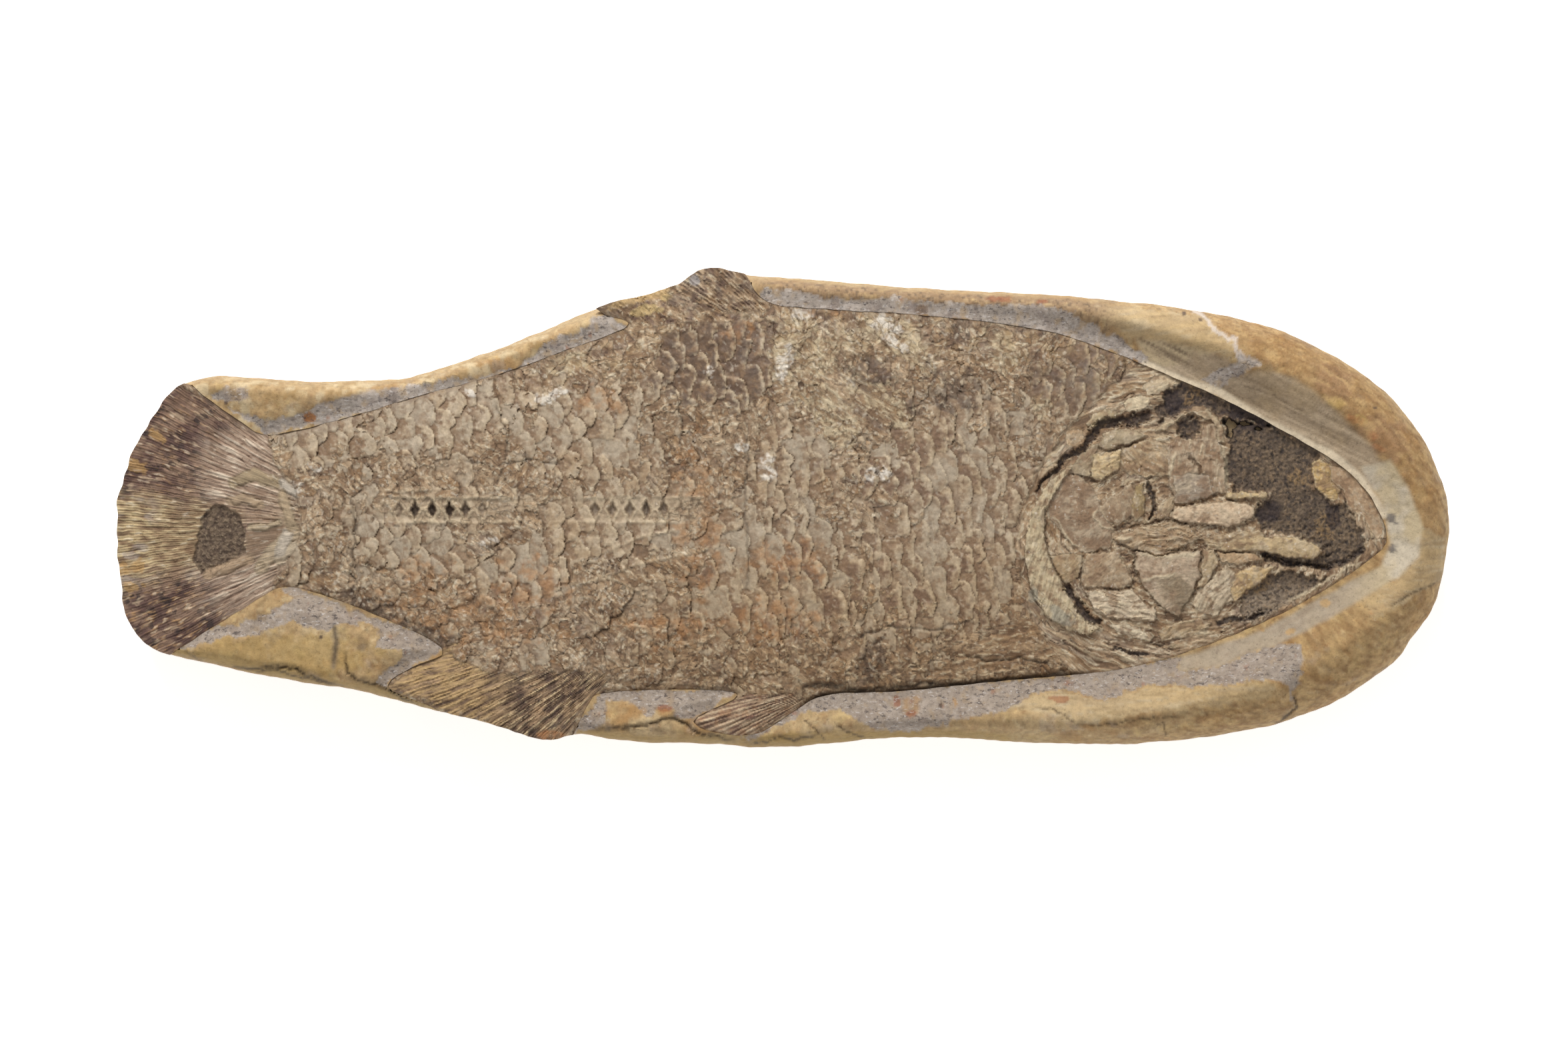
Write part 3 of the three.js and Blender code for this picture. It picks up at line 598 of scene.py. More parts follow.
def margin_colour(x, y, z, marks):
    """The colour of the stone round the fish: crust, grey cuts, olive slope and pale bevel."""
    crust = crust_colour(x, y, z)
    high = smooth(19, 32, z)
    u, v = crust_place(x, y, z)
    # The right end is darker and browner, the lower left more olive, as the eye sees them.
    crust = painted(
        crust,
        (ORANGE_OCHRE * 0.92, 0.5 * high * spots(x, y, DARK_END, 0.3, 51)),
        ((163, 130, 100), 0.6 * spots(x, y, REDDISH_END, 0.4, 53)),
        ((208, 180, 112), 0.4 * spots(x, y, YELLOW_END, 0.4, 55)),
        ((180, 118, 78), 0.45 * spots(x, y, RUSTY_STREAKS, 0.5, 57)),
        ((170, 140, 84), 0.55 * high * spots(x, y, OLIVE_CRUST, 0.3, 59)),
        ((150, 124, 72), 0.7 * high * smooth(3.6, 1.2, marks["rim"]) * smooth(10, -20, y)
         * smooth(120, 40, x)),
        # painted highlight along the upper rim, the side that faces the light
        ((170, 146, 110), 0.5 * high * smooth(2.4, 0.6, marks["rim"]) * smooth(20, 35, y)
         * smooth(120, 60, x)),
    )
    laminae = noise(u * 0.12, v + 0.25 * u + 1.3 * noise(u, v, 22, 60), 1.1, 61)
    laminae = 0.12 * smooth(0.2, 0.6, laminae) * smooth(90, 120, x) * smooth(0, 20, y)
    crust = crust * (1 - laminae)[:, None]
    right = smooth(80, 110, x) * smooth(14, 24, z)
    straw_x, straw_y = turned(x, y, 5, 9)
    straw = painted(
        PALE_OCHRE,
        ((180, 158, 124), smooth(-0.3, 0.5, fractal(straw_x, straw_y, 2.2, 3, 62))),
        ((196, 180, 152), 0.6 * smooth(0.1, 0.7, fractal(straw_x, straw_y, 1.3, 3, 63))),
        ((150, 128, 96), 0.6 * smooth(0.2, 0.8, fractal(straw_x, straw_y, 1.6, 3, 89))),
    )
    upper_left = high * smooth(-60, -76, x) * (y > 0)
    rusty_rim = smooth(16, 24, z) * smooth(-0.9, -0.2, fractal(u, v, 4, 4, 87))
    rusty_rim = rusty_rim * smooth(-14, 0, x) * (y > 0) * smooth(106, 90, x)
    rusty_rim = rusty_rim * smooth(0.7, 1.7, marks["rim"] + 0.6 * noise(x, y, 4, 93))
    crust = painted(
        crust,
        ((134, 102, 68), 0.5 * right * smooth(0.1, 0.6, marks["weather"])),
        ((204, 174, 126), 0.5 * right * smooth(0.1, 0.6, -marks["weather"])),
        (straw, 0.85 * marks["straw"]),
        ((146, 116, 72), 0.55 * upper_left * smooth(0.1, 0.6, fractal(u, v, 5, 4, 94))),
        ((208, 190, 156), 0.6 * upper_left * smooth(0.0, 0.6, -fractal(u, v, 7, 4, 94))),
        ((142, 116, 88), 0.9 * rusty_rim),
        ((176, 150, 116), 0.5 * rusty_rim * smooth(0.1, 0.6, -fractal(u, v, 2.0, 3, 88))),
        ((96, 78, 62), 0.75 * rusty_rim * smooth(0.15, 0.6, fractal(u, v, 1.6, 3, 88))),
    )
    crust = crust * (1 - (high * smooth(90, 130, x))[:, None] * np.array([0.07, 0.11, 0.18]))
    specks_x, specks_y = turned(x, y, 6, 1.6)
    grey = painted(
        LAVENDER,
        ((182, 170, 160), 0.8 * smooth(-0.1, 0.8, fractal(x, y, 7, 4, 64))),
        ((138, 124, 116), 0.7 * smooth(0.1, 0.9, fractal(x, y, 6, 4, 65))),
        (SLATE, 0.55 * smooth(0.35, 0.8, fractal(specks_x, specks_y, 1.1, 3, 66))),
        ((206, 198, 192), 0.45 * smooth(0.4, 0.8, fractal(specks_x, specks_y, 1.2, 3, 67))),
        ((172, 146, 112), 0.55 * smooth(0.25, 0.8, fractal(x, y, 4, 4, 74))),
        ((154, 136, 118), 0.45 * smooth(0, -20, y)),
    )
    grey = grey * (1 + 0.1 * smooth(0, 20, y) * smooth(-30, 0, x))[:, None]
    stained = smooth(-90, -110, x) * (y > 10) * smooth(3.5, 6.5, marks["out"])
    grey = painted(
        grey,
        ((164, 138, 102), 0.8 * smooth(-0.1, 0.5, fractal(x, y, 6, 4, 91)) * stained),
        ((150, 105, 80), 0.6 * smooth(0.75, 1.05, fractal(x, y, 5, 3, 68))),
    )
    colour = blend(crust, grey, marks["grey"] * smooth(18, 24, z))
    slope = painted(
        OLIVE,
        ((184, 166, 140), smooth(-0.2, 0.7, marks["strokes"])),
        (DARK_OLIVE, 0.75 * smooth(0.15, 0.8, -marks["strokes"])),
        (DARK_OLIVE, 0.4 * spots(x, y, DARK_SLOPE, 0.4, 69)),
        ((174, 152, 118), 0.5 * smooth(0.0, 0.8, fractal(x, y, 14, 3, 70))),
    )
    slope = slope * np.array([1.1, 1.07, 1.06])
    near_band = spots(x, y, PALE_SLOPE, 0.4, 90)
    slope = blend(slope, tone(196, 176, 140), 0.75 * near_band * smooth(-0.7, 0.3, marks["strokes"]))
    keep = marks["slope"] * (1 - marks["grey"])
    colour = blend(colour, slope, keep)
    pale = painted(
        (190, 172, 140),
        ((194, 181, 160), smooth(-0.3, 0.6, fractal(x, y, 10, 3, 71))),
        ((164, 148, 128), 0.85 * smooth(184, 166, x) * (y < 10)),
        ((156, 138, 118), 0.7 * smooth(-0.1, 0.7, fractal(*turned(x, y, 30, 6), 1.8, 3, 72))
         * smooth(182, 168, x)),
        ((186, 150, 100), 0.7 * spots(x, y, AMBER_BEVEL, 0.3, 73)),
        (SLATE, 0.8 * spots(x, y, SLATE_BEVEL, 0.7, 75)),
    )
    ochre_on_grey = spots(x, y, OCHRE_ON_GREY, 0.35, 77)
    colour = painted(
        colour,
        (pale, marks["pale"] * (1 - marks["grey"])),
        ((214, 198, 172), 0.9 * marks["lip"]),
        ((206, 194, 184), 0.75 * marks["fracture"]),
        (ORANGE_OCHRE, 0.75 * ochre_on_grey * smooth(-0.5, 0.4, noise(x, y, 3, 78))),
        (RUST, 0.6 * spots(x, y, RUST_STAINS, 0.6, 79)),
        ((120, 100, 84), 0.8 * spot(x, y, (1384, 466, 13, 8, 0), 0.5, 81)),
        ((156, 100, 48), 0.85 * spot(x, y, (464, 626, 10, 7, -10), 0.4, 82)),
        ((120, 98, 70), 0.5 * spots(x, y, BROWN_STAINS, 0.5, 83)),
        (DARK_BROWN, 0.9 * spots(x, y, DARK_DOTS, 0.2, 85)),
        (SLATE * 0.9, 0.6 * bell(beside(CRACKS[3][0], x, y)[0], 0.9)),
        # painted shade in the crust's cracks and ledges
        ((70, 56, 40), 0.9 * smooth(19, 29, z) * marks["crack"]),
    )
    return colour


# The fish's scales.

COLUMN_PLACES = [(-176, -5.2), (-150, 0), (-100, 10.4), (-20, 25.0), (70, 43.0), (110, 51.0)]
ROW_HEIGHTS = [(-160, 5.6), (-100, 7.2), (-40, 8.2), (80, 8.2)]
SCALE_LEAN = 0.34
SCALE_STEP = 0.78
BACKBONE_Y = -0.6
# Directions of the broken ground's streaks, patch by patch, in degrees.
GROUND_TURNS = [-62.0, -28.0, 14.0, -45.0, 60.0]
# Hollows between the vertebrae: place along the photo, how deep, how dark.
HOLLOWS = [
    (578, 0.3, 0.0), (598, 0.55, 0.1), (623, 1, 0.75), (649, 1, 1), (675, 1, 1), (699, 0.8, 0.5),
    (724, 0.5, 0.2), (893, 0.7, 0.22), (919, 0.8, 0.12), (945, 0.8, 0.12), (970, 0.85, 0.25),
    (996, 0.7, 0.22), (1022, 0.4, 0.1), (1048, 0.3, 0.1),
]

# Ovals on the photo: centre, half width and half height in pixels, turn in degrees.
WELL_KEPT = [
    (660, 628, 140, 60, 16), (880, 650, 110, 80, -20), (630, 825, 120, 46, -5), (900, 790, 110, 60, 0),
    (1420, 790, 150, 190, 0), (1150, 860, 160, 110, 0), (780, 850, 70, 60, 0), (1200, 700, 60, 60, 0),
    (480, 650, 70, 50, 10),
]
CREAMY = [
    (1210, 520, 50, 46, -60), (1172, 545, 20, 30, 0), (1350, 505, 56, 30, -30),
    (1375, 540, 50, 12, -35), (1290, 505, 30, 20, 0), (1500, 520, 20, 40, 20), (1230, 600, 40, 30, 0),
    (1320, 600, 60, 20, -35), (1560, 610, 16, 20, 0), (1260, 640, 34, 30, 0), (850, 545, 40, 16, 16),
]
# Raised white patches, lightened with painted highlights.
BRIGHT = [
    (1330, 490, 26, 14, -20), (1176, 548, 14, 24, -10), (1342, 515, 30, 8, -35), (1320, 714, 18, 12, 0),
    (1210, 470, 22, 12, 0), (830, 592, 22, 9, 20), (812, 604, 14, 6, 10), (1150, 708, 14, 20, 0),
    (425, 818, 22, 12, 40), (440, 732, 12, 12, 0), (700, 590, 12, 8, 0), (1110, 672, 10, 8, 0),
    (470, 700, 10, 6, -30), (736, 812, 14, 10, 0), (1065, 560, 8, 10, 0),
]
DARK_SCALES = [
    (1090, 540, 92, 72, 5), (1020, 545, 40, 50, 0), (1300, 575, 44, 40, 0), (1330, 605, 20, 16, 0),
    (1640, 545, 60, 40, -20), (1600, 570, 60, 50, 0),
]
DARK_PATCHES = [
    (1296, 566, 34, 26, 0), (1440, 590, 44, 30, 0), (1395, 560, 16, 20, 0), (1436, 500, 18, 24, -30),
    (1440, 465, 22, 7, -15), (1375, 610, 14, 12, 0), (520, 905, 50, 22, -15), (560, 925, 34, 24, 20),
    (640, 955, 60, 16, -22), (1312, 990, 26, 34, 0), (700, 560, 60, 8, 16), (1452, 470, 14, 6, 0),
    (1560, 500, 34, 8, -10), (1235, 480, 18, 10, 0),
]
AMBER_PATCHES = [
    (700, 930, 120, 44, -12), (1044, 780, 34, 120, 4), (800, 880, 60, 40, 0), (1180, 840, 60, 30, 0),
    (1110, 500, 26, 16, 0), (640, 860, 40, 24, 0), (1160, 930, 80, 30, 0), (1000, 940, 60, 30, 0),
    (1240, 470, 24, 10, 0), (905, 600, 40, 20, 0),
]
BROWN_CENTRES = [(1170, 890, 170, 80, 0), (1420, 900, 110, 60, 0), (820, 930, 100, 60, 0),
                 (1350, 700, 120, 60, 0)]
FIBROUS = [
    (1330, 770, 52, 34, -20), (1540, 960, 150, 36, 8), (1290, 600, 70, 50, -30),
    (1420, 1005, 120, 16, 4), (1000, 850, 80, 22, 20), (760, 800, 70, 26, 20), (1630, 900, 60, 60, 30),
]
SPINES = [drawn(line) for line in [
    [(884, 872), (960, 846), (1062, 824)],
    [(858, 876), (918, 868), (990, 902)],
    [(1262, 682), (1300, 684)],
    [(592, 738), (648, 734)],
    [(905, 830), (960, 806), (1010, 796)],
]]
# Lines across the body: line, depth in mm, half width in mm.
BODY_CRACKS = placed(drawn, [
    ([(1192, 1034), (1230, 1028), (1300, 1036), (1380, 1026), (1460, 1026), (1560, 1013),
        (1620, 1004)], 0.9, 0.8),
    ([(1440, 980), (1480, 992), (1530, 988), (1580, 996)], 0.7, 0.5),
    ([(1116, 640), (1122, 700), (1117, 760), (1124, 840), (1119, 900)], 0.35, 0.35),
    ([(528, 745), (534, 790), (528, 860), (536, 884)], 0.5, 0.4),
    ([(740, 600), (758, 640), (760, 690), (744, 730)], 0.35, 0.3),
    ([(1010, 570), (1024, 640), (1018, 700)], 0.35, 0.3),
    ([(690, 690), (740, 700), (800, 690), (850, 700)], 0.4, 0.35),
    ([(1460, 930), (1400, 945), (1330, 940), (1280, 960)], 0.4, 0.35),
])


def rubble(x, y, seed, pale=0.0):
    """Crumbled bone and scale: relief in mm, colour and bits. pale is the share of pale flakes, up to 1."""
    blotch = fractal(x, y, 4.4, 4, seed)
    bits = fractal(x, y, 1.15, 3, seed + 80)
    fold = 1 - np.abs(noise(x, y, 2.5, seed + 90) + 0.4 * noise(x, y, 0.95, seed + 91))
    crest = smooth(0.84, 0.97, fold)
    crease = 1 - np.abs(noise(x, y, 3.3, seed + 92) + 0.4 * noise(x, y, 1.1, seed + 93))
    crease = smooth(0.9, 0.99, crease) * smooth(-0.3, 0.35, noise(x, y, 5.5, seed + 94))
    plate = smooth(-0.1, 0.05, noise(x, y, 3.6, seed + 95) + 0.25 * bits)
    relief = 0.26 * blotch + 0.2 * crest - 0.3 * crease + 0.15 * bits + 0.22 * plate
    colour = painted(
        (148, 121, 93),
        ((178, 153, 124), smooth(-0.3, 0.5, blotch + 0.4 * bits)),
        ((112, 87, 66), 0.8 * smooth(0.1, 0.75, -blotch + 0.35 * bits)),
        ((160, 124, 84), 0.35 * smooth(0.15, 0.8, fractal(x, y, 5.5, 3, seed + 96))),
        ((150, 140, 130), 0.3 * smooth(0.3, 0.8, -fractal(x, y, 6.5, 3, seed + 97))),
        ((206, 190, 162), 0.7 * crest * smooth(-0.4, 0.3, bits + pale)),
        ((214, 200, 174), 0.7 * smooth(0.5, 0.8, bits + 0.35 * blotch + 0.25 * pale)),
        ((72, 56, 44), 0.75 * crease),
        ((86, 68, 54), 0.6 * smooth(0.5, 0.85, -bits + 0.2 * blotch)),
    )
    return relief, colour, bits


def scale_relief(x, y, ragged):
    """Overlapping scales, each lying over the next one towards the head."""
    wx = x + 0.9 * noise(x, y, 5.4, 101) + 0.12 * noise(x, y, 1.4, 102)
    wx = wx + 0.9 * noise(x, y, 12, 108) + 1.5 * noise(x, y, 31, 105)
    wy = y + 1.1 * noise(x, y, 5.8, 103) + 0.12 * noise(x, y, 1.4, 104)
    wy = wy + 1.1 * noise(x, y, 13, 109) + 1.3 * noise(x, y, 27, 106)
    forward = smooth(-60, 10, x)
    power = 2.3 + 0.4 * forward
    columns = [c[1] for c in COLUMN_PLACES]
    places = [c[0] for c in COLUMN_PLACES]
    first = np.floor(np.interp(wx + SCALE_LEAN * wy, places, columns) - 2.2).astype(int)
    taken = np.zeros(x.shape, bool)
    gap = np.full(x.shape, 3.0)
    s = {name: np.zeros(x.shape) for name in ("reach", "u", "v", "name", "broken", "side")}
    edge_noise = noise(x, y, 3.2, 107)
    for step in range(5):
        column = first + step
        column_x = np.interp(column, columns, places)
        row_height = along(ROW_HEIGHTS, column_x)
        odd = 0.5 * (column % 2)
        near = np.round(wy / row_height - odd).astype(int)
        for turn in (0, -1, 1):
            row = near + turn
            cy = (row + odd) * row_height + (chance(column, row, 2) - 0.5) * 1.7
            cx = column_x - SCALE_LEAN * cy + (chance(column, row, 3) - 0.5) * 1.6
            wide = 5.9 + 1.6 * (chance(column, row, 4) - 0.5)
            high = (0.6 + 0.12 * forward) * row_height + 0.8
            u, v = (wx - cx) / wide, (wy - cy) / high
            reach = (np.abs(u) ** power + np.abs(v) ** power) ** (1 / power)
            chip = smooth(0.35, 0.9, chance(column, row, 5) + 0.4 * ragged)
            reach = reach + (0.05 + 0.13 * chip) * edge_noise
            there = chance(column, row, 1) > 0.06 + 0.22 * ragged
            hit = ~taken & there & (reach < 1)
            beyond = (reach - 1) * 5.0
            nearer = ~taken & there & (reach >= 1) & (u > -0.2) & (beyond < gap)
            gap = np.where(nearer, beyond, gap)
            # Painted shade at a scale's edge is strongest on its lower and right sides.
            side = smooth(-0.5, 0.5, 0.75 * u - 0.65 * v) * (0.35 + 0.65 * chance(column, row, 8))
            s["side"] = np.where(nearer, side, s["side"])
            found = {
                "reach": reach, "u": u, "v": v,
                "name": chance(column, row, 6), "broken": chance(column, row, 7),
            }
            for name, value in found.items():
                s[name][hit] = value[hit]
            taken |= hit
    height = SCALE_STEP * (1 - 0.3 * forward) * (0.5 + 0.5 * s["u"]) + 0.35 * (s["name"] - 0.5)
    height -= 0.2 * smooth(0.88, 1.0, s["reach"])
    s["height"] = np.where(taken, height, -0.35)
    s["gap"] = gap
    s["bare"] = (~taken).astype(float)
    s["there"] = taken.astype(float)
    s["forward"] = forward
    return s


def vertebra_marks(x, y):
    """Hollows between hourglass vertebrae: how deep, how dark, and the light rims round them."""
    hollow, dark, rim = np.zeros_like(x), np.zeros_like(x), np.zeros_like(x)
    for px, strength, darkness in HOLLOWS:
        cx = at(px, 0)[0]
        d = np.abs(x - cx) / 1.6 + np.abs(y - BACKBONE_Y) / 2.8 + 0.22 * noise(x, y, 1.1, 120)
        hollow = np.maximum(hollow, strength * smooth(1.0, 0.45, d))
        dark = np.maximum(dark, darkness * smooth(1.0, 0.7, d))
        rim = np.maximum(rim, strength * bell(d - 1.3, 0.3))
    return hollow, dark, rim


def scaled_body(x, y, inner):
    """Relief, colour, gloss and place along the fibres of the body."""
    kept = spots(x, y, WELL_KEPT, 0.5, 110)
    creamy = spots(x, y, CREAMY, 0.6, 170)
    bright = spots(x, y, BRIGHT, 0.7, 210)
    dark_scales = spots(x, y, DARK_SCALES, 0.4, 250)
    dark = spots(x, y, DARK_PATCHES, 0.6, 270)
    amber = spots(x, y, AMBER_PATCHES, 0.6, 310)
    centres = spots(x, y, BROWN_CENTRES, 0.5, 340)
    fibre = spots(x, y, FIBROUS, 0.4, 360)
    back = smooth(16, 6, inner + 3 * noise(x, y, 9, 380)) * (y > 12) * smooth(-90, -60, x)
    worn = np.clip(0.6 - 0.6 * kept + 0.5 * creamy + 0.5 * fibre + 0.25 * back - 0.55 * dark_scales, 0, 1)
    s = scale_relief(x, y, worn)
    # Under the scales the broken ground is drawn out where the bone shows its fibres.
    lower = y < -30
    patch = np.floor(2.6 * (fractal(x, y, 15, 3, 383) + 1)).astype(int) % len(GROUND_TURNS)
    degrees = np.where(fibre > 0.5, np.where(lower, 8.0, -34.0), np.array(GROUND_TURNS)[patch])
    pull = np.where(fibre > 0.5, 3.2, 1.9)
    cosine, sine = np.cos(np.radians(degrees)), np.sin(np.radians(degrees))
    fx, fy = x * cosine + y * sine, -x * sine + y * cosine
    px, py = fx / pull, fy
    ground, colour, bits = rubble(px + 0.4 * noise(x, y, 2.3, 381), py + 0.4 * noise(x, y, 2.3, 382),
                                  400, creamy)
    broken = smooth(0.3, 0.55, worn + 0.5 * (s["broken"] - 0.5) + 0.22 * noise(x, y, 2.4, 420))
    whole = (1 - broken) * (1 - s["bare"])
    fine = fractal(x, y, 1.9, 4, 421)
    grain = fractal(x, y, 0.95, 2, 422)
    # The dark line at each scale's edge is painted shade in its crack.
    crack = bell(s["gap"], 0.3) * s["side"] * (0.35 + 0.65 * smooth(-0.5, 0.3, noise(x, y, 4.5, 445)))
    # Next to the scale over it, a scale is worn to brown ground with painted shadow, most towards the head.
    reach_in = s["u"] + 0.16 * np.abs(s["v"]) ** 2 + 0.3 * noise(x, y, 2.6, 434) + 0.2 * fine
    shift = 0.24 * s["forward"]
    lap_wear_and_shade = smooth(0.46 + shift, 0.26 + shift, reach_in) * smooth(0.08, 0.3, s["name"])
    relief = s["height"] * (1 - 0.25 * broken) - 0.45 * crack * (1 - 0.4 * broken) - 0.22 * lap_wear_and_shade * whole
    relief += 0.3 * lap_wear_and_shade * whole * ground
    relief += 0.75 * broken * ground + whole * (0.08 * fine + 0.08 * ground) + 0.04 * grain
    relief += 0.25 * fractal(x, y, 7, 2, 423) + 0.35 * bright - 0.35 * dark * broken
    # Painted shade in the body's cracks, darkest in the deep one below the belly.
    crack_shade = np.zeros_like(x)
    for line, deep, half in BODY_CRACKS:
        far, share = beside(line, *shaken(x, y, 0.7, 3, 424))
        cut = bell(far, half) * faded(share, 0.1)
        relief -= deep * cut
        crack_shade = np.maximum(crack_shade,
                               cut * min(1.0, 0.45 + 0.4 * deep) * (0.6 + 0.4 * smooth(-0.5, 0.2, fine)))
    spine = np.zeros_like(x)
    for line in SPINES:
        far, _ = beside(line, *shaken(x, y, 0.3, 3, 426))
        spine = np.maximum(spine, bell(far, 0.5))
    relief += 0.35 * spine
    in_row = smooth(-124, -119, x) * smooth(-22, -27, x)
    in_row = in_row * (1 - 0.8 * smooth(-84, -80, x) * smooth(-58, -62, x))
    off = np.abs(y - BACKBONE_Y + 0.3 * noise(x, y, 5, 428))
    band = smooth(4.2, 3.2, off) * in_row
    ledge = bell(off - 3.6, 0.55) * in_row * smooth(-0.6, 0.3, noise(x, y, 6, 429))
    hollow, hole_dark, rim = vertebra_marks(x, y)
    relief = relief * (1 - 0.75 * band) - 1.7 * hollow + 0.5 * rim + 0.55 * ledge + 0.35 * band * ground

    warm = fractal(x, y, 17, 3, 433)
    patchy = fractal(x, y, 4.4, 4, 446)
    stain = fractal(x, y, 2.3, 4, 448)
    wrinkle = 1 - np.abs(noise((x + SCALE_LEAN * y) * 0.8, y * 0.24, 1.5, 449))
    plate = painted(
        (170, 152, 128),
        ((172, 148, 118), smooth(-0.5, 0.6, warm + 1.2 * (s["name"] - 0.5))),
        ((186, 168, 142), 0.6 * smooth(0.6, 1.0, s["name"]) + 0.3 * smooth(0.1, 0.7, fine)),
        ((156, 144, 128), 0.35 * smooth(0.35, 0.1, s["name"])),
        ((134, 106, 78), 0.5 * smooth(0.1, 0.6, patchy)),
        ((184, 168, 146), 0.45 * smooth(0.1, 0.7, -patchy)),
        ((122, 97, 72), 0.5 * smooth(0.86, 0.98, wrinkle) * smooth(-0.3, 0.3, noise(x, y, 5, 450))),
        ((118, 92, 68), 0.4 * smooth(0.4, 0.9, stain + 0.3 * patchy)),
        ((202, 188, 166), 0.35 * smooth(0.45, 0.9, -stain)),
    )
    # The lapped part: worn brown ground and painted shadow.
    lapped = 0.65 * tone(122, 95, 70) + 0.35 * colour
    plate = plate * (1 - 0.9 * lap_wear_and_shade)[:, None] + lapped * (0.9 * lap_wear_and_shade)[:, None]
    centre = smooth(0.75, 0.3, np.hypot(s["u"] - 0.3, s["v"]) + 0.2 * fine) * smooth(0.3, 0.6, s["name"])
    # A painted highlight along the free edge of each scale.
    edge = smooth(0.82, 0.97, s["reach"]) * (s["u"] > -0.3)
    edge = edge * (1 - 0.75 * dark_scales * smooth(-0.1, 0.4, stain + 0.4 * noise(x, y, 3, 457)))
    plate = painted(
        plate,
        ((112, 86, 68), centre * (0.1 + 0.6 * centres)),
        ((94, 72, 56), (0.88 - 0.25 * smooth(70, 84, x)) * dark_scales
         * smooth(0.97, 0.72, s["reach"] + 0.2 * fine)),
        ((142, 114, 86), 0.55 * dark_scales * smooth(0.0, 0.6, stain + 0.5 * fine)),
        ((66, 51, 44), 0.5 * dark_scales * smooth(0.05, 0.6, -patchy + 0.3 * fine)),
        # painted highlight on the scales' edges
        ((196, 178, 148), edge * (0.45 + 0.1 * dark_scales) * smooth(-0.6, 0.3, fine)),
    )
    cream_shape = smooth(-0.35, 0.35, fractal(px, py, 2.8, 3, 435) + 0.5 * bits)
    grit_x, grit_y = turned(*shaken(x, y, 0.5, 1.7, 455), -38, 1.5)
    loose = np.maximum(broken, 0.7 * lap_wear_and_shade * s["there"])
    # White glints painted on the broken ground as small flecks.
    glints = smooth(0.42, 0.7, noise(grit_x, grit_y, 0.95, 451) + 0.4 * noise(x, y, 6, 452)) * loose
    speck = smooth(0.42, 0.7, noise(grit_x, grit_y, 1.2, 453) + 0.4 * noise(x, y, 8, 454)) * loose
    colour = painted(
        colour,
        (plate, whole),
        ((196, 178, 146), 0.72 * creamy * cream_shape),
        ((146, 122, 92), 0.5 * creamy * (1 - cream_shape)),
        # painted highlights on the white patches
        ((226, 217, 204), 0.8 * bright * smooth(-0.4, 0.3, fractal(px * 1.4, py * 1.4, 2.2, 4, 447))),
        ((168, 122, 78), 0.55 * amber * smooth(-0.5, 0.6, fractal(x, y, 3.6, 3, 437))),
        ((150, 98, 62), 0.25 * amber * smooth(0.3, 0.9, fractal(x, y, 2.4, 3, 438))),
        ((84, 68, 58), 0.72 * dark * smooth(-0.55, 0.25, fractal(x, y, 3, 3, 439))),
        (PLUM_BROWN, 0.4 * back * smooth(0.0, 0.7, fractal(x, y, 6.5, 3, 440))),
        ((176, 150, 108), 0.3 * back * smooth(0.0, 0.7, -fractal(x, y, 5, 3, 441))),
        ((172, 152, 126), 0.55 * band),
        ((198, 180, 150), np.clip(0.6 * rim + 0.5 * ledge + 0.35 * spine, 0, 0.85)),
        # painted shade in the scales' cracks
        ((70, 55, 44), 0.75 * crack * (1 - 0.5 * broken)),
        # painted glints
        ((222, 210, 190), 0.45 * glints),
        ((92, 71, 54), 0.5 * speck),
        # painted shade beside the scales' edges, on their lower and right sides
        ((116, 92, 70), 0.45 * smooth(1.5, 0.3, s["gap"]) * s["side"]),
        # painted shade in the body's cracks
        (CREVICE_SHADE, 0.9 * crack_shade),
        ((140, 126, 112), 0.7 * hollow),
        ((74, 59, 48), 0.93 * hole_dark),
    )
    colour = colour * (1.015 + 0.10 * fine + 0.12 * grain)[:, None]
    # The lower side is browner.
    low = (smooth(-4, -30, y) * smooth(-60, -20, x))[:, None]
    colour = colour * (1 - low * np.array([0.06, 0.11, 0.19]))
    flow = np.where(whole > 0.5, x * 2.5, fx), np.where(whole > 0.5, y, fy)
    return relief, colour, whole * (1 - crack), flow


# Fins: fans of rays about a point, between two directions in degrees.

TAIL_APEX = (-121.4, -5.4)
BACK_FIN = drawn([
    (1005, 436), (1024, 410), (1050, 394), (1080, 390), (1110, 396), (1150, 414), (1160, 440),
    (1150, 470), (1120, 470), (1060, 468), (1000, 458),
])
BACK_RIDGE = drawn([
    (896, 474), (925, 450), (985, 428), (1015, 430), (1040, 460), (1080, 470), (1130, 470), (1100, 484),
    (1020, 484), (960, 496), (945, 500),
])
ANAL_FIN = drawn([
    (578, 1030), (672, 970), (700, 990), (740, 1008), (800, 1010), (860, 1006), (916, 1018),
    (905, 1040), (880, 1066), (846, 1104), (800, 1120), (740, 1090), (660, 1066),
])
PELVIC_FIN = drawn([
    (1040, 1078), (1064, 1062), (1098, 1040), (1130, 1044), (1185, 1038), (1206, 1048), (1190, 1066),
    (1150, 1090), (1112, 1116), (1075, 1112), (1050, 1100),
])
TAIL_ROOT = drawn([
    (401, 640), (404, 652), (408, 690), (430, 716), (448, 748), (452, 790), (446, 820), (430, 846),
    (414, 868), (411, 884), (411, 900), (140, 1080), (60, 760), (140, 520),
])
TAIL_PATCH = drawn([
    (305, 772), (322, 756), (345, 760), (362, 775), (370, 800), (368, 830), (352, 842), (322, 862),
    (300, 862), (290, 840), (296, 800),
])
TAIL_PANEL = drawn([(368, 800), (400, 790), (424, 786), (426, 804), (408, 820), (384, 836), (370, 832)])
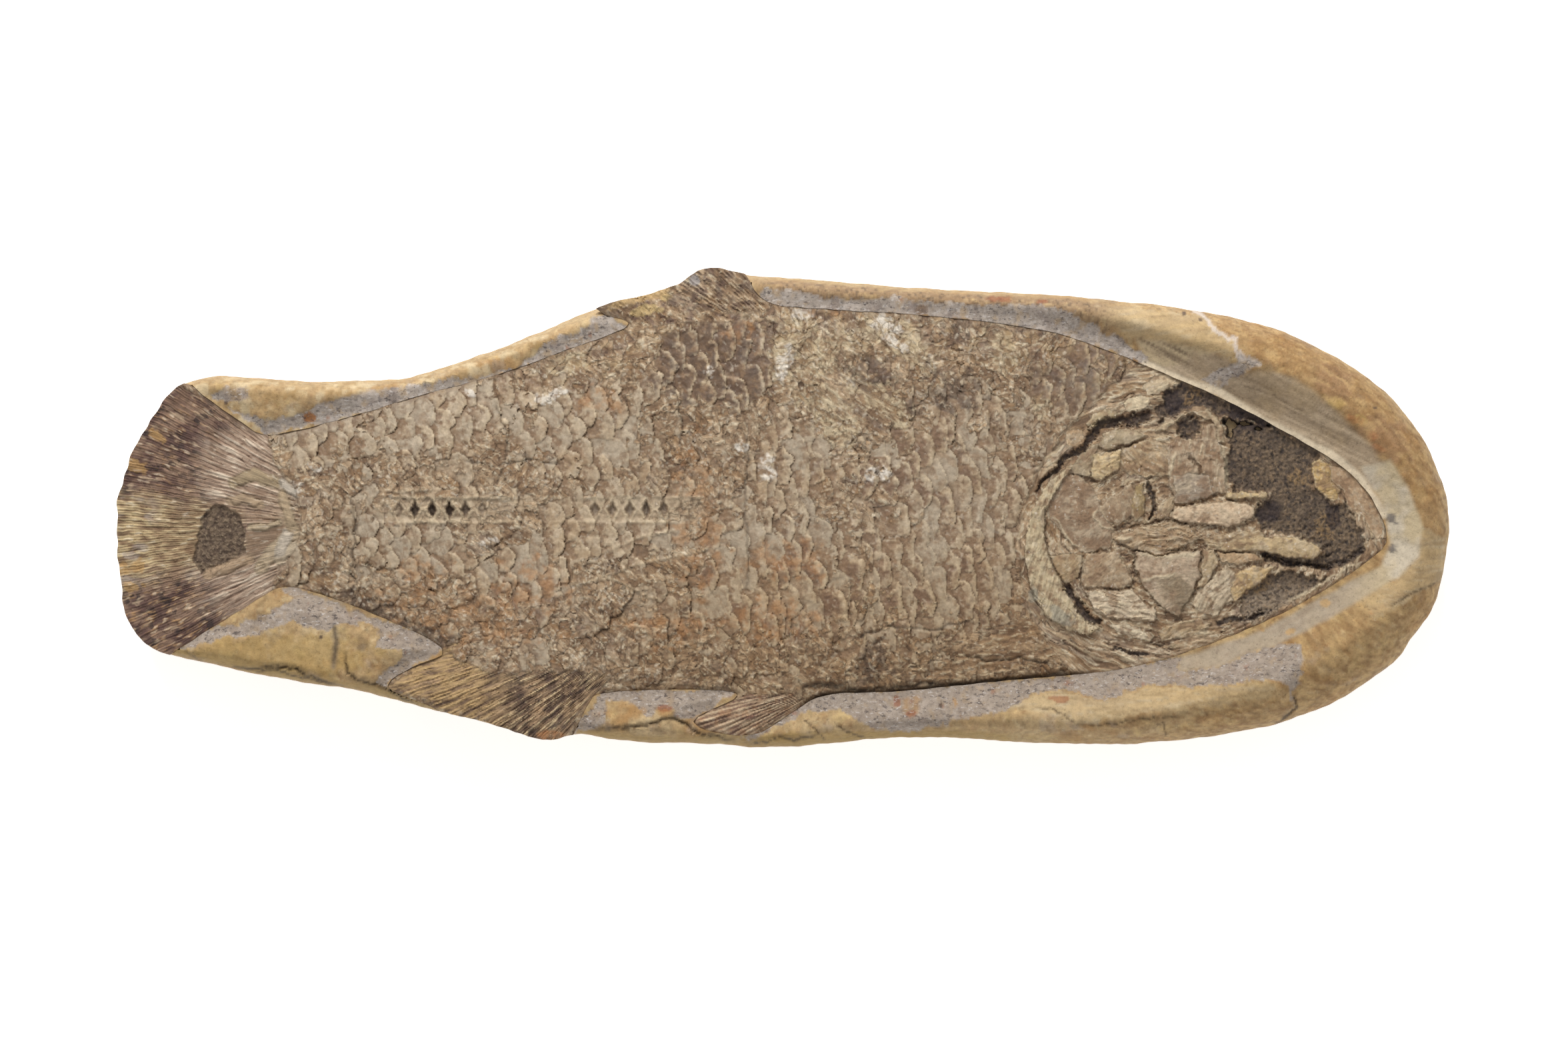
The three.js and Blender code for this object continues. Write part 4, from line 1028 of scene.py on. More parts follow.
# Bones at the root of the tail: line, half width in mm, colour.
TAIL_BONES = placed(drawn, [
    ([(392, 850), (412, 826), (440, 800)], 2.0, tone(182, 162, 134)),
    ([(418, 840), (440, 822), (462, 812)], 1.2, tone(194, 176, 150)),
    ([(352, 724), (380, 712), (414, 724)], 1.6, tone(166, 146, 116)),
    ([(312, 862), (345, 850), (374, 838)], 1.4, tone(176, 150, 122)),
    ([(345, 752), (366, 748), (390, 758)], 1.2, tone(176, 152, 124)),
    ([(425, 724), (438, 738), (454, 744)], 1.0, tone(196, 184, 168)),
    ([(432, 800), (428, 812), (420, 828)], 1.4, tone(200, 186, 168)),
    ([(376, 792), (402, 790), (420, 784)], 0.8, PALE_TAN),
    ([(424, 742), (432, 770), (440, 790)], 1.4, tone(182, 160, 130)),
])


# Ovals on the photo, as spot() takes them.
OCHRE_TAIL = [
    (203, 700, 24, 10, 0), (196, 852, 20, 12, 0), (196, 880, 14, 8, 0), (232, 655, 16, 8, -30),
]


def fan(x, y, apex, start, end, seed):
    """Place across a fan of rays from 0 to 1, and distance from the point where the rays meet."""
    dx, dy = x - apex[0], y - apex[1]
    radius = np.hypot(dx, dy)
    angle = np.degrees(np.arctan2(dy, dx)) % 360
    across = (angle - start) / (end - start)
    return across + 0.005 * noise(x, y, 8, seed) + 0.002 * noise(x, y, 2.5, seed + 1), radius


def rays(across, radius, count, seed):
    """Rods side by side, from -1 in the gaps to 1 on their backs, each of its own height and length."""
    phase = across * count
    rod = np.cos(2 * math.pi * phase)
    each = noise(np.round(phase) * 3.7, radius / 22, 1.0, seed)
    return rod * (0.75 + 0.4 * each) + 0.45 * each


def tail_fin(x, y):
    """Relief, colour, gloss and place along the rays of the tail fin."""
    across, radius = fan(x, y, TAIL_APEX, 146, 214, 301)
    coarse, middle, fine = (rays(across, radius, n, 302 + k) for k, n in enumerate((21, 52, 112)))
    far = radius + 5 * noise(across * 9, radius / 40, 1.0, 305)
    out, outer = smooth(30, 44, far), smooth(46, 60, far)
    rod = (0.8 * coarse + 0.3 * middle) * (1 - out)
    rod += (0.55 * middle + 0.3 * coarse + 0.2 * fine) * out * (1 - outer)
    rod += (0.55 * fine + 0.35 * middle) * outer
    streaks = fractal(radius / 9, across * 30, 1.0, 3, 306)
    thin = fractal(radius / 4, across * 60, 1.0, 2, 309)
    flake, name = chips(radius * 0.5, across * 58, 1.0, 311)
    patch = smooth(-0.3, 0.8, near_depth(TAIL_PATCH, *shaken(x, y, 0.8, 2.2, 312)))
    panel = smooth(-0.2, 0.4, near_depth(TAIL_PANEL, x, y))
    lumps = fractal(x, y, 1.1, 3, 314)
    root = smooth(40, 24, far)
    root_relief, root_colour, _ = rubble(radius / 2.6, across * 60, 690, 0.3)
    height = 0.26 * rod + 0.2 * streaks + 0.1 * thin + 0.12 * flake + 0.3 * fractal(x, y, 9, 2, 315)
    height = height + 0.9 * root * root_relief
    height = height * (1 - patch) * (1 - 0.8 * panel) + patch * (-1.0 + 0.3 * lumps)

    upper_lobe = smooth(0.44, 0.36, across + 0.03 * noise(x, y, 7, 325))
    lower_lobe = smooth(0.64, 0.74, across + 0.03 * noise(x, y, 7, 326))
    mid = 1 - np.maximum(upper_lobe, lower_lobe)
    inner_colour = painted(
        (170, 146, 126),
        ((216, 198, 176), smooth(0.0, 0.8, 0.6 * rod + 0.8 * streaks)),
        ((118, 92, 76), 0.75 * smooth(0.15, 0.8, -0.7 * rod - 0.7 * streaks)),
        (root_colour * 1.05, 0.65 * root),
    )
    brown = painted(
        (134, 108, 90),
        ((94, 70, 62), smooth(-0.4, 0.4, fractal(x, y, 8, 3, 321) + 0.5 * streaks)),
        ((56, 44, 42), 0.85 * smooth(0.62, 0.8, name) * smooth(-0.4, 0.4, noise(x, y, 5, 322))),
        ((172, 134, 92), 0.75 * smooth(0.2, 0.65, thin + 0.3 * rod) * (0.55 + 0.45 * lower_lobe)),
        ((190, 166, 138), 0.6 * smooth(0.4, 0.8, fractal(radius / 6, across * 44, 1.0, 3, 323))),
    )
    straw = painted(
        (150, 124, 94),
        ((190, 170, 134), smooth(-0.3, 0.7, 0.6 * rod + 0.6 * thin)),
        ((106, 82, 62), 0.7 * smooth(0.1, 0.7, -0.6 * rod - 0.8 * thin)),
        ((204, 182, 138), 0.45 * smooth(58, 70, radius) * smooth(-0.4, 0.4, thin + 0.5 * rod)),
        ((128, 100, 76), 0.65 * smooth(-0.1, 0.6, fractal(x, y, 8, 3, 332)) * smooth(72, 60, radius)),
        ((162, 150, 142), 0.6 * smooth(0.1, 0.6, fractal(x * 0.6, y, 5, 3, 324))
         * smooth(64, 72, radius)),
    )
    root_brown = smooth(0.3, 0.42, across) * smooth(0.6, 0.48, across) * smooth(54, 40, far)
    blotch = spots(x, y, OCHRE_TAIL, 0.8, 330)
    matrix = painted(
        (116, 98, 80),
        ((84, 68, 56), smooth(-0.3, 0.4, fractal(x, y, 1.5, 4, 331))),
        ((150, 132, 108), 0.6 * smooth(0.3, 0.8, lumps)),
    )
    colour = painted(
        inner_colour,
        (brown, outer * smooth(0.0, 0.5, np.maximum(upper_lobe, lower_lobe))),
        ((122, 96, 76), 0.6 * upper_lobe * smooth(0.2, 0.8, fractal(x, y, 7, 3, 328))),
        (straw, mid * smooth(36, 48, far)),
        ((132, 102, 76), 0.6 * root_brown * smooth(-0.4, 0.4, streaks)),
        ((184, 146, 92), 0.6 * blotch),
        (matrix, patch),
        ((134, 110, 88), 0.85 * panel),
    )
    for line, half, shade in TAIL_BONES:
        off, share = beside(line, *shaken(x, y, 0.5, 2.6, 316))
        round_top = np.sqrt(np.clip(1 - (off / half) ** 2, 0, 1)) * faded(share, 0.12)
        height = height * (1 - round_top) + round_top * (0.7 + 0.25 * streaks)
        colour = painted(
            colour,
            (shade * 0.7, 0.8 * smooth(half + 0.7, half, off)),
            (shade, 0.8 * smooth(half, half * 0.6, off + 0.35 * lumps + 0.3 * streaks)),
        )
    colour = blend(colour, tone(222, 208, 188),
                   0.4 * smooth(0.5, 0.8, thin + 0.3 * noise(x, y, 7, 333)) * (1 - patch))
    colour = colour * (1.0 + 0.1 * rod + 0.08 * lumps)[:, None]
    flow = np.where(patch > 0.5, x * 8, radius), np.where(patch > 0.5, y, across * 82)
    return height, colour, 0 * x, flow


SMALL_FINS = [
    {"outline": BACK_FIN, "apex": (22, 34), "from": 108, "to": 152, "rays": 40, "seed": 351,
     "breadth": 38},
    {"outline": ANAL_FIN, "apex": (-26, -26), "from": 194, "to": 232, "rays": 56, "seed": 361,
     "breadth": 46},
    {"outline": PELVIC_FIN, "apex": (16, -52), "from": 190, "to": 216, "rays": 12, "seed": 371,
     "breadth": 12},
]


def fin_shares(x, y):
    """How far each point belongs to each of the small fins, from 0 to 1."""
    wx, wy = shaken(x, y, 1.0, 4, 340)
    shares = []
    for fin in SMALL_FINS:
        across, radius = fan(x, y, fin["apex"], fin["from"], fin["to"], fin["seed"])
        frayed = 1.6 * fractal(radius / 7, across * fin["breadth"] * 0.5, 1.0, 3, fin["seed"] + 6)
        shares.append(smooth(-1.4, 1.2, near_depth(fin["outline"], wx, wy) + frayed - 0.3))
    return shares


def small_fin(k, x, y):
    """Relief, colour, gloss and place along the rays of a small fin."""
    fin = SMALL_FINS[k]
    across, radius = fan(x, y, fin["apex"], fin["from"], fin["to"], fin["seed"])
    rod = rays(across, radius, fin["rays"], fin["seed"] + 2)
    streaks = fractal(radius / 9, across * fin["rays"] * 0.9, 1.0, 3, fin["seed"] + 3)
    flake, name = chips(radius * 0.45, across * fin["rays"] * 1.3, 1.0, fin["seed"] + 4)
    broad = rays(across, radius, fin["rays"] / 3.1, fin["seed"] + 5)
    height = (0.2 if fin["rays"] > 12 else 0.3) * rod + 0.14 * broad + 0.26 * streaks + 0.14 * flake
    if k == 0:
        relief, colour, _ = rubble(radius * 0.5, across * 40, 386)
        height += 0.7 * relief
        colour = painted(
            colour,
            ((96, 74, 64), 0.75 * smooth(-0.1, 0.6, fractal(x, y, 3.5, 3, 381) - 0.2 * broad)),
            ((192, 170, 142), 0.6 * smooth(0.3, 1.0, streaks + 0.4 * rod)),
        )
        colour = 0.95 * blend(colour, tone(150, 144, 142),
                              0.85 * spot(x, y, (1041, 421, 9, 8, 0), 0.4, 382))
    elif k == 1:
        colour = painted(
            (164, 136, 106),
            ((102, 80, 66), smooth(-0.5, 0.5, fractal(x, y, 7, 3, 383) - 0.3 * broad)),
            ((212, 190, 150), 0.8 * smooth(0.25, 0.8, streaks + 0.3 * rod + 0.2 * broad)),
            ((64, 50, 46), 0.7 * smooth(0.7, 0.85, name) * smooth(-92, -80, x)),
            ((190, 158, 110), 0.75 * smooth(-76, -96, x) * smooth(-0.6, 0.2, streaks)),
            ((176, 118, 70), 0.6 * spot(x, y, (824, 1102, 24, 7, 0), 0.4, 384)),
        )
    else:
        threads = fractal(radius / 8, across * 22, 1.0, 3, fin["seed"] + 7)
        colour = painted(
            (176, 150, 122),
            ((112, 82, 70), smooth(-0.2, 0.8, -0.5 * rod + 1.1 * threads)),
            ((210, 192, 162), 0.7 * smooth(0.3, 0.9, 0.5 * rod - 1.1 * threads)),
        )
        colour = 0.95 * blend(colour, tone(156, 112, 76), 0.5 * smooth(0, 0.8, fractal(x, y, 3, 3, 385)))
    colour = colour * (1 + 0.18 * rod + 0.06 * flake)[:, None]
    return height, colour, 0 * x, (radius * 0.4, across * fin["breadth"])


# The head. Outlines here were read off an enlargement with its corner at pixel (1530, 540) of the photo.

HEAD_CORNER = (1530, 540)
HEAD_ZOOM = 2.751
HEAD_SCALE = HEAD_ZOOM * PIXELS_PER_MM
# The place in mm that the layers of the bones sweep round.
CHEEK_CENTRE = (118, -9)


def at_head(u, v):
    """A place on the enlargement, in mm from the frame's origin."""
    return at(HEAD_CORNER[0] + u / HEAD_ZOOM, HEAD_CORNER[1] + v / HEAD_ZOOM)


def head(points):
    """A line through pixels of the enlargement, in mm."""
    return [at_head(u, v) for u, v in points]


# Bones, lowest first: outline, lift in mm, colour, direction of the grain in degrees, its strength.
BONES = placed(head, [
    ([(600, 130), (640, 96), (700, 60), (640, 40), (560, 60), (500, 110), (520, 140), (560, 146)],
        1.6, (192, 172, 142), 30, 0.5),
    ([(420, 180), (450, 150), (500, 140), (540, 150), (540, 180), (500, 214), (440, 216)],
        1.7, (206, 188, 157), 20, 0.6),
    ([(268, 268), (300, 220), (350, 200), (400, 210), (400, 240), (360, 262), (300, 290)],
        1.8, (166, 148, 116), 30, 0.6),
    ([(190, 300), (230, 276), (262, 290), (260, 330), (220, 366), (190, 350)],
        1.5, (170, 142, 110), 60, 0.6),
    ([(105, 590), (140, 520), (180, 465), (250, 480), (300, 520), (330, 600), (392, 700), (372, 778),
        (280, 800), (235, 790), (170, 720), (120, 660)], 1.9, (143, 119, 95), 20, 0.25),
    ([(120, 800), (250, 800), (256, 850), (236, 905), (190, 925), (150, 900)],
        1.5, (160, 136, 104), 40, 0.4),
    ([(320, 605), (400, 545), (455, 500), (480, 560), (470, 640), (400, 692), (345, 655)],
        2.2, (156, 134, 108), -60, 0.5),
    ([(130, 470), (215, 430), (250, 380), (330, 330), (300, 420), (286, 490), (200, 470)],
        1.7, (150, 132, 106), 50, 0.5),
    ([(312, 355), (340, 300), (385, 280), (480, 286), (530, 312), (440, 352), (350, 376)],
        2.6, (164, 146, 118), 8, 0.3),
    ([(300, 388), (420, 368), (446, 398), (390, 470), (330, 502), (286, 490)],
        2.7, (190, 166, 126), -12, 1.0),
    ([(430, 360), (540, 318), (600, 350), (640, 400), (620, 480), (520, 490), (440, 470), (400, 440)],
        2.0, (164, 138, 106), -35, 1.1),
    ([(548, 300), (570, 272), (622, 246), (700, 212), (772, 200), (816, 236), (842, 290), (848, 350),
        (820, 345), (806, 292), (782, 250), (758, 250), (700, 222), (640, 262), (590, 298)],
        2.6, (180, 160, 130), 15, 0.6),
    ([(600, 345), (660, 318), (742, 322), (760, 260), (800, 262), (828, 350), (850, 470), (852, 552),
        (800, 560), (700, 590), (640, 590), (612, 520)], 2.1, (151, 127, 102), 80, 0.9),
    ([(628, 478), (700, 462), (776, 470), (800, 560), (700, 592), (640, 592)],
        2.4, (152, 136, 118), 5, 0.35),
    ([(456, 600), (472, 520), (508, 500), (516, 570), (512, 640), (476, 676), (456, 650)],
        2.5, (148, 126, 88), 80, 0.6),
    ([(560, 660), (560, 600), (600, 570), (640, 560), (640, 620), (600, 668)],
        2.2, (168, 146, 116), 70, 0.9),
    ([(610, 652), (650, 604), (760, 588), (858, 578), (962, 598), (976, 640), (946, 664), (858, 692),
        (760, 682), (680, 676)], 2.9, (198, 174, 145), 4, 0.35),
    ([(850, 540), (1018, 542), (1026, 572), (870, 578), (846, 570)], 3.0, (194, 170, 128), 0, 0.5),
    ([(378, 745), (420, 715), (480, 690), (600, 664), (700, 684), (752, 735), (700, 764), (560, 806),
        (440, 780)], 2.6, (158, 132, 102), 2, 1.3),
    ([(750, 735), (860, 708), (990, 702), (1020, 735), (990, 790), (860, 790), (770, 790)],
        2.3, (162, 138, 106), 6, 1.1),
    ([(820, 748), (990, 728), (1120, 728), (1210, 748), (1256, 785), (1222, 822), (1110, 822),
        (1000, 792), (830, 790)], 2.7, (184, 160, 122), 4, 0.5),
    ([(806, 790), (960, 796), (1010, 828), (900, 846), (830, 840)], 2.3, (178, 150, 116), 5, 0.6),
    ([(268, 800), (410, 780), (424, 832), (452, 862), (466, 912), (432, 944), (256, 942), (246, 900)],
        2.3, (160, 136, 108), 30, 0.5),
    ([(470, 790), (748, 784), (742, 880), (722, 952), (652, 1072), (562, 1002), (500, 930),
        (474, 870)], 2.7, (173, 151, 127), 3, 0.4),
    ([(752, 775), (800, 785), (822, 846), (760, 940), (730, 950), (744, 880)],
        2.5, (172, 150, 118), 70, 0.8),
    ([(740, 948), (790, 900), (850, 850), (892, 880), (880, 990), (802, 1062), (742, 1042),
        (700, 1010)], 2.3, (184, 166, 140), 50, 1.1),
    ([(866, 960), (880, 880), (960, 850), (1062, 850), (1010, 910), (930, 962), (880, 1004)],
        2.4, (188, 160, 116), 20, 0.8),
    ([(262, 950), (460, 944), (502, 990), (562, 1040), (562, 1084), (400, 1072), (306, 1044)],
        2.4, (198, 180, 154), -10, 1.4),
    ([(356, 1090), (450, 1084), (562, 1140), (530, 1166), (400, 1132)], 2.2, (198, 182, 156), -18, 1.3),
    ([(560, 1120), (640, 1080), (740, 1060), (800, 1090), (700, 1150), (590, 1160)],
        1.8, (164, 140, 108), 20, 1.1),
    ([(30, 690), (52, 600), (120, 500), (180, 448), (222, 440), (170, 510), (118, 600), (100, 690),
        (110, 780), (140, 860), (190, 950), (240, 1040), (300, 1096), (332, 1108), (280, 1140),
        (190, 1116), (110, 1064), (56, 980), (24, 880), (16, 780)], 2.9, (186, 168, 136), 75, 1.3),
    ([(1196, 420), (1240, 405), (1300, 440), (1290, 500), (1330, 540), (1300, 590), (1240, 560),
        (1210, 520)], 1.6, (180, 150, 100), 10, 0.9),
    ([(1270, 430), (1340, 440), (1410, 510), (1470, 590), (1502, 690), (1480, 756), (1440, 700),
        (1400, 640), (1340, 600), (1330, 540), (1284, 500)], 1.5, (166, 138, 108), -50, 0.4),
])
# Bones whose green is above this are made a little lighter still.
LIGHT_BONE = 0.36
OLIVE_FACET = head([(560, 890), (640, 874), (724, 950), (652, 1072), (562, 1000)])
MATRIX_AREAS = [head(line) for line in [
    [(836, 240), (1000, 262), (1086, 292), (1200, 362), (1262, 392), (1212, 420), (1200, 520),
        (1290, 592), (1350, 604), (1400, 690), (1428, 780), (1350, 850), (1262, 872), (1150, 850),
        (1010, 830), (990, 790), (1210, 822), (1262, 790), (1200, 738), (1000, 700), (966, 650),
        (980, 600), (1036, 572), (1026, 540), (880, 540), (832, 450), (866, 352)],
    [(920, 970), (1000, 905), (1080, 868), (1200, 890), (1262, 905), (1180, 970), (1060, 1040),
        (960, 1084), (900, 1040)],
    [(650, 262), (700, 232), (744, 246), (736, 300), (690, 330), (648, 306)],
    [(560, 212), (600, 132), (680, 98), (800, 128), (870, 190), (900, 240), (830, 236), (770, 190),
        (700, 200), (620, 236), (570, 262)],
    [(820, 110), (980, 190), (1120, 260), (1240, 350), (1250, 400), (1100, 320), (960, 260),
        (860, 240)],
]]
# Holes in the matrix: centre, half width and half height, all on the enlargement.
PITS = [((868, 264), 30, 26), ((925, 262), 34, 12), ((985, 284), 18, 9), ((866, 300), 16, 22),
        ((1026, 268), 12, 8)]
# Dark grooves: line, half width at each end in mm, depth in mm.
GROOVES = placed(head, [
    ([(60, 560), (90, 500), (130, 468), (190, 400), (252, 374), (330, 272), (400, 250), (480, 250),
        (560, 215)], 0.8, 2.2, 1.7),
    ([(180, 925), (236, 1000), (276, 1066), (342, 1092)], 1.3, 1.6, 1.6),
    ([(256, 800), (262, 850), (240, 912)], 0.35, 0.6, 0.8),
    ([(518, 492), (546, 560), (556, 620), (528, 664)], 0.8, 0.55, 1.4),
    ([(474, 795), (470, 860), (478, 915), (440, 946)], 0.3, 0.6, 0.9),
    ([(402, 712), (470, 684), (540, 676), (610, 655)], 0.3, 0.3, 0.7),
    ([(384, 760), (560, 808), (740, 782)], 0.3, 0.3, 0.7),
    ([(108, 600), (100, 690), (112, 780), (150, 880), (196, 940)], 0.25, 0.45, 0.8),
    ([(990, 800), (1080, 832), (1200, 850), (1300, 862)], 0.8, 0.8, 0.8),
    ([(690, 400), (740, 440), (746, 470)], 0.6, 0.4, 0.7),
    ([(800, 1090), (880, 1070), (960, 1066), (1010, 1040)], 0.9, 0.9, 0.9),
    ([(560, 1190), (600, 1170), (660, 1150)], 0.6, 0.7, 0.8),
    ([(1250, 780), (1276, 760), (1290, 800), (1262, 824)], 0.35, 0.35, 0.7),
    ([(1210, 860), (1330, 830), (1420, 780)], 0.5, 0.7, 0.7),
    ([(380, 1190), (460, 1210), (540, 1216)], 0.5, 0.8, 0.8),
])
# Thin light ridges: line, half width in mm.
LIGHT_LINES = placed(head, [
    ([(130, 640), (168, 690), (205, 752), (262, 782)], 0.35),
    ([(325, 608), (300, 650), (340, 690), (390, 700)], 0.3),
    ([(642, 380), (622, 440), (612, 490)], 0.45),
    ([(756, 340), (738, 400)], 0.4),
    ([(830, 350), (846, 430), (852, 540)], 0.5),
    ([(476, 806), (610, 812), (742, 800)], 0.7),
    ([(490, 912), (560, 900), (650, 880)], 0.5),
    ([(470, 740), (400, 738)], 0.7),
    ([(560, 130), (620, 96)], 0.5),
    ([(1090, 1010), (1240, 930), (1400, 830)], 0.4),
])


# Ovals on the photo, as spot() takes them.
OCHRE_MATRIX = [
    (1785, 595, 18, 11, 0), (1950, 720, 20, 16, 0), (1990, 790, 14, 20, 0), (1890, 880, 16, 12, 0),
]
DARK_MATRIX = [
    (1870, 625, 40, 20, -10), (1900, 770, 30, 14, 0), (2000, 770, 12, 26, 15), (1750, 600, 22, 18, 0),
    (1850, 900, 20, 10, 30),
]
BLUE_GREY_BONE = [(1590, 925, 18, 12, -40), (1550, 892, 8, 10, 0)]


def head_line(y):
    """The X at which the head's bones begin, in mm."""
    return 70 + 0.012 * (y + 12) ** 2


def skull(x, y):
    """Relief, colour, gloss and place along the fibres of the head."""
    wx = x + 0.55 * noise(x, y, 3.2, 501) + 0.28 * noise(x, y, 1.2, 502) + 0.13 * noise(x, y, 0.7, 503)
    wy = y + 0.55 * noise(x, y, 3.2, 504) + 0.28 * noise(x, y, 1.2, 505) + 0.13 * noise(x, y, 0.7, 506)
    # Layers sweep round the cheek, so their noise is drawn out round a centre.
    dx, dy = (x - CHEEK_CENTRE[0]) * 0.8, y - CHEEK_CENTRE[1]
    ring = np.hypot(dx, dy) + 1.2 * noise(x, y, 8, 507)
    sweep = np.arctan2(-dy, -dx) * 30
    layers = fractal(sweep / 6.5, ring, 1.25, 4, 508)
    flake, _ = chips(sweep / 2.4, ring * 1.15, 1.7, 510)
    small, small_name = chips(x, y, 0.8, 515)
    lumps = fractal(x, y, 1.0, 3, 520)
    fine = fractal(x, y, 1.8, 3, 521)
    broad = fractal(x, y, 9, 3, 522)
    floor = -HEAD_FLOOR_DROP
    ground, ground_colour, _ = rubble(sweep / 2.2, ring, 680, 0.2)
    height = floor + 1.35 + 0.24 * layers + 0.9 * ground
    matrix = np.zeros_like(x)
    for line in MATRIX_AREAS:
        ragged = 1.1 * noise(x, y, 2.8, 523) + 0.7 * noise(x, y, 1.1, 525)
        matrix = np.maximum(matrix, smooth(-0.6, 0.8, near_depth(line, wx, wy) + ragged))
    low = floor + 0.2 + 0.34 * lumps + 0.3 * fractal(x, y, 6, 2, 524)
    height = height * (1 - matrix) + matrix * low
    which = np.full(x.shape, -1)
    flow_x, flow_y = np.where(matrix > 0.5, x * 3.3, sweep / 1.2), np.where(matrix > 0.5, y, ring)
    under, fibres, edge_highlight = np.zeros_like(x), np.zeros_like(x), np.zeros_like(x)
    for k, (line, lift, _, direction, strength) in enumerate(BONES):
        d = near_depth(line, wx, wy)
        close = d > 0.1 - REACH
        if not close.any():
            continue
        cx, cy, d = x[close], y[close], d[close]
        rise = smooth(-0.1, 0.55, d)
        bend = 2.2 * noise(cx, cy, 8, 530 + k)
        threads = fractal(*turned(cx, cy + bend, direction, 6), 1.05, 3, 570 + k)
        top = floor + lift + 0.16 * np.clip(d, 0, 3) + 0.27 * strength * threads
        splinters = (0.06 + 0.08 * strength) * flake[close]
        top += 0.35 * noise(cx, cy, 7, 610 + k) + splinters + 0.05 * small[close]
        height[close] = height[close] * (1 - rise) + top * rise
        over = rise > 0.5
        mine = np.flatnonzero(close)[over]
        which[mine] = k
        fibres[mine] = (threads * strength)[over]
        # A painted highlight just inside each bone's edge.
        edge_highlight[mine] = bell(d[over] - 0.45, 0.3)
        matrix[mine] = 0
        bone_x, bone_y = turned(cx[over], (cy + bend)[over], direction, 1.0)
        flow_x[mine], flow_y[mine] = bone_x, bone_y
        # Painted shade just outside each bone's edge, on the ground or bone below it.
        under[close] = np.maximum(under[close], bell(d + 0.35, 0.4))
        under[mine] = 0
    on_bone = (which >= 0).astype(float)
    groove, wide_groove = np.zeros_like(x), np.zeros_like(x)
    for line, first, last, deep in GROOVES:
        far, share = beside(line, wx, wy)
        half = (first + (last - first) * share) * (0.8 + 0.45 * noise(x, y, 4.5, 640)) + 0.1
        cut = smooth(1.2, 0.5, far / half + 0.35 * lumps) * faded(share, 0.06)
        cut = cut * (1.0 if max(first, last) > 0.7 else 0.6)
        height = height * (1 - cut) + cut * (np.minimum(height, floor + 1.7) - deep + 0.3 * lumps)
        groove = np.maximum(groove, cut)
        wide_groove = np.maximum(wide_groove, cut * smooth(0.3, 0.8, max(first, last)))
    pit = np.zeros_like(x)
    for centre, wide, high in PITS:
        cx, cy = at_head(*centre)
        reach = np.hypot((x - cx) * HEAD_SCALE / wide, (y - cy) * HEAD_SCALE / high)
        pit = np.maximum(pit, smooth(1.1, 0.5, reach + 0.5 * noise(x, y, 1.3, 641)))
    height = height - 3.2 * pit
    lines = np.zeros_like(x)
    for line, half in LIGHT_LINES:
        far, share = beside(line, wx, wy)
        lines = np.maximum(lines, bell(far, half) * faded(share, 0.15))
    height = height + 0.35 * lines

    colour = painted(
        ground_colour,
        ((200, 182, 150), 0.5 * smooth(0.2, 0.8, layers)),
        ((100, 80, 62), 0.6 * smooth(0.25, 0.75, -layers) * smooth(-0.4, 0.4, noise(x, y, 4, 650))),
    )
    earth = painted(
        (106, 89, 74),
        ((80, 67, 62), smooth(-0.3, 0.5, broad)),
        ((182, 163, 142), 0.9 * smooth(-20, -28, y)),
        ((116, 99, 78), 0.5 * smooth(112, 150, x + 6 * broad)),
        ((146, 122, 94), 0.5 * smooth(0.6, 0.9, small_name) * smooth(-0.6, 0.2, lumps)),
        ((64, 53, 48), 0.4 * smooth(0.0, 0.6, fractal(x, y, 5, 3, 669)) * smooth(-28, -20, y)),
        ((50, 42, 40), 0.6 * smooth(0.28, 0.1, small_name) + 0.4 * smooth(0.1, 0.7, -lumps)),
        ((152, 122, 82), 0.55 * spots(x, y, OCHRE_MATRIX, 0.7, 651) * smooth(-0.3, 0.3, lumps)),
        ((48, 38, 42), 0.7 * spots(x, y, DARK_MATRIX, 0.6, 655)),
    )
    colour = blend(colour, earth, matrix)
    for k, (_, _, shade, _, _) in enumerate(BONES):
        shade = tone(*shade)
        colour[which == k] = shade * (1.04 if shade[1] > LIGHT_BONE else 1.03)
    varied = fractal(x, y, 4.6, 4, 660)
    mottle = fractal(x, y, 2.4, 4, 668)
    crazing = 1 - np.abs(noise(wx, wy, 5.5, 662))
    facet = smooth(-0.4, 0.6, near_depth(OLIVE_FACET, x, y))
    dark_ground = painted(
        (78, 64, 58),
        ((44, 36, 38), smooth(-0.3, 0.4, lumps)),
        ((120, 98, 72), 0.7 * smooth(0.8, 0.95, small_name)),
    )
    blue = spots(x, y, BLUE_GREY_BONE, 0.4, 665)
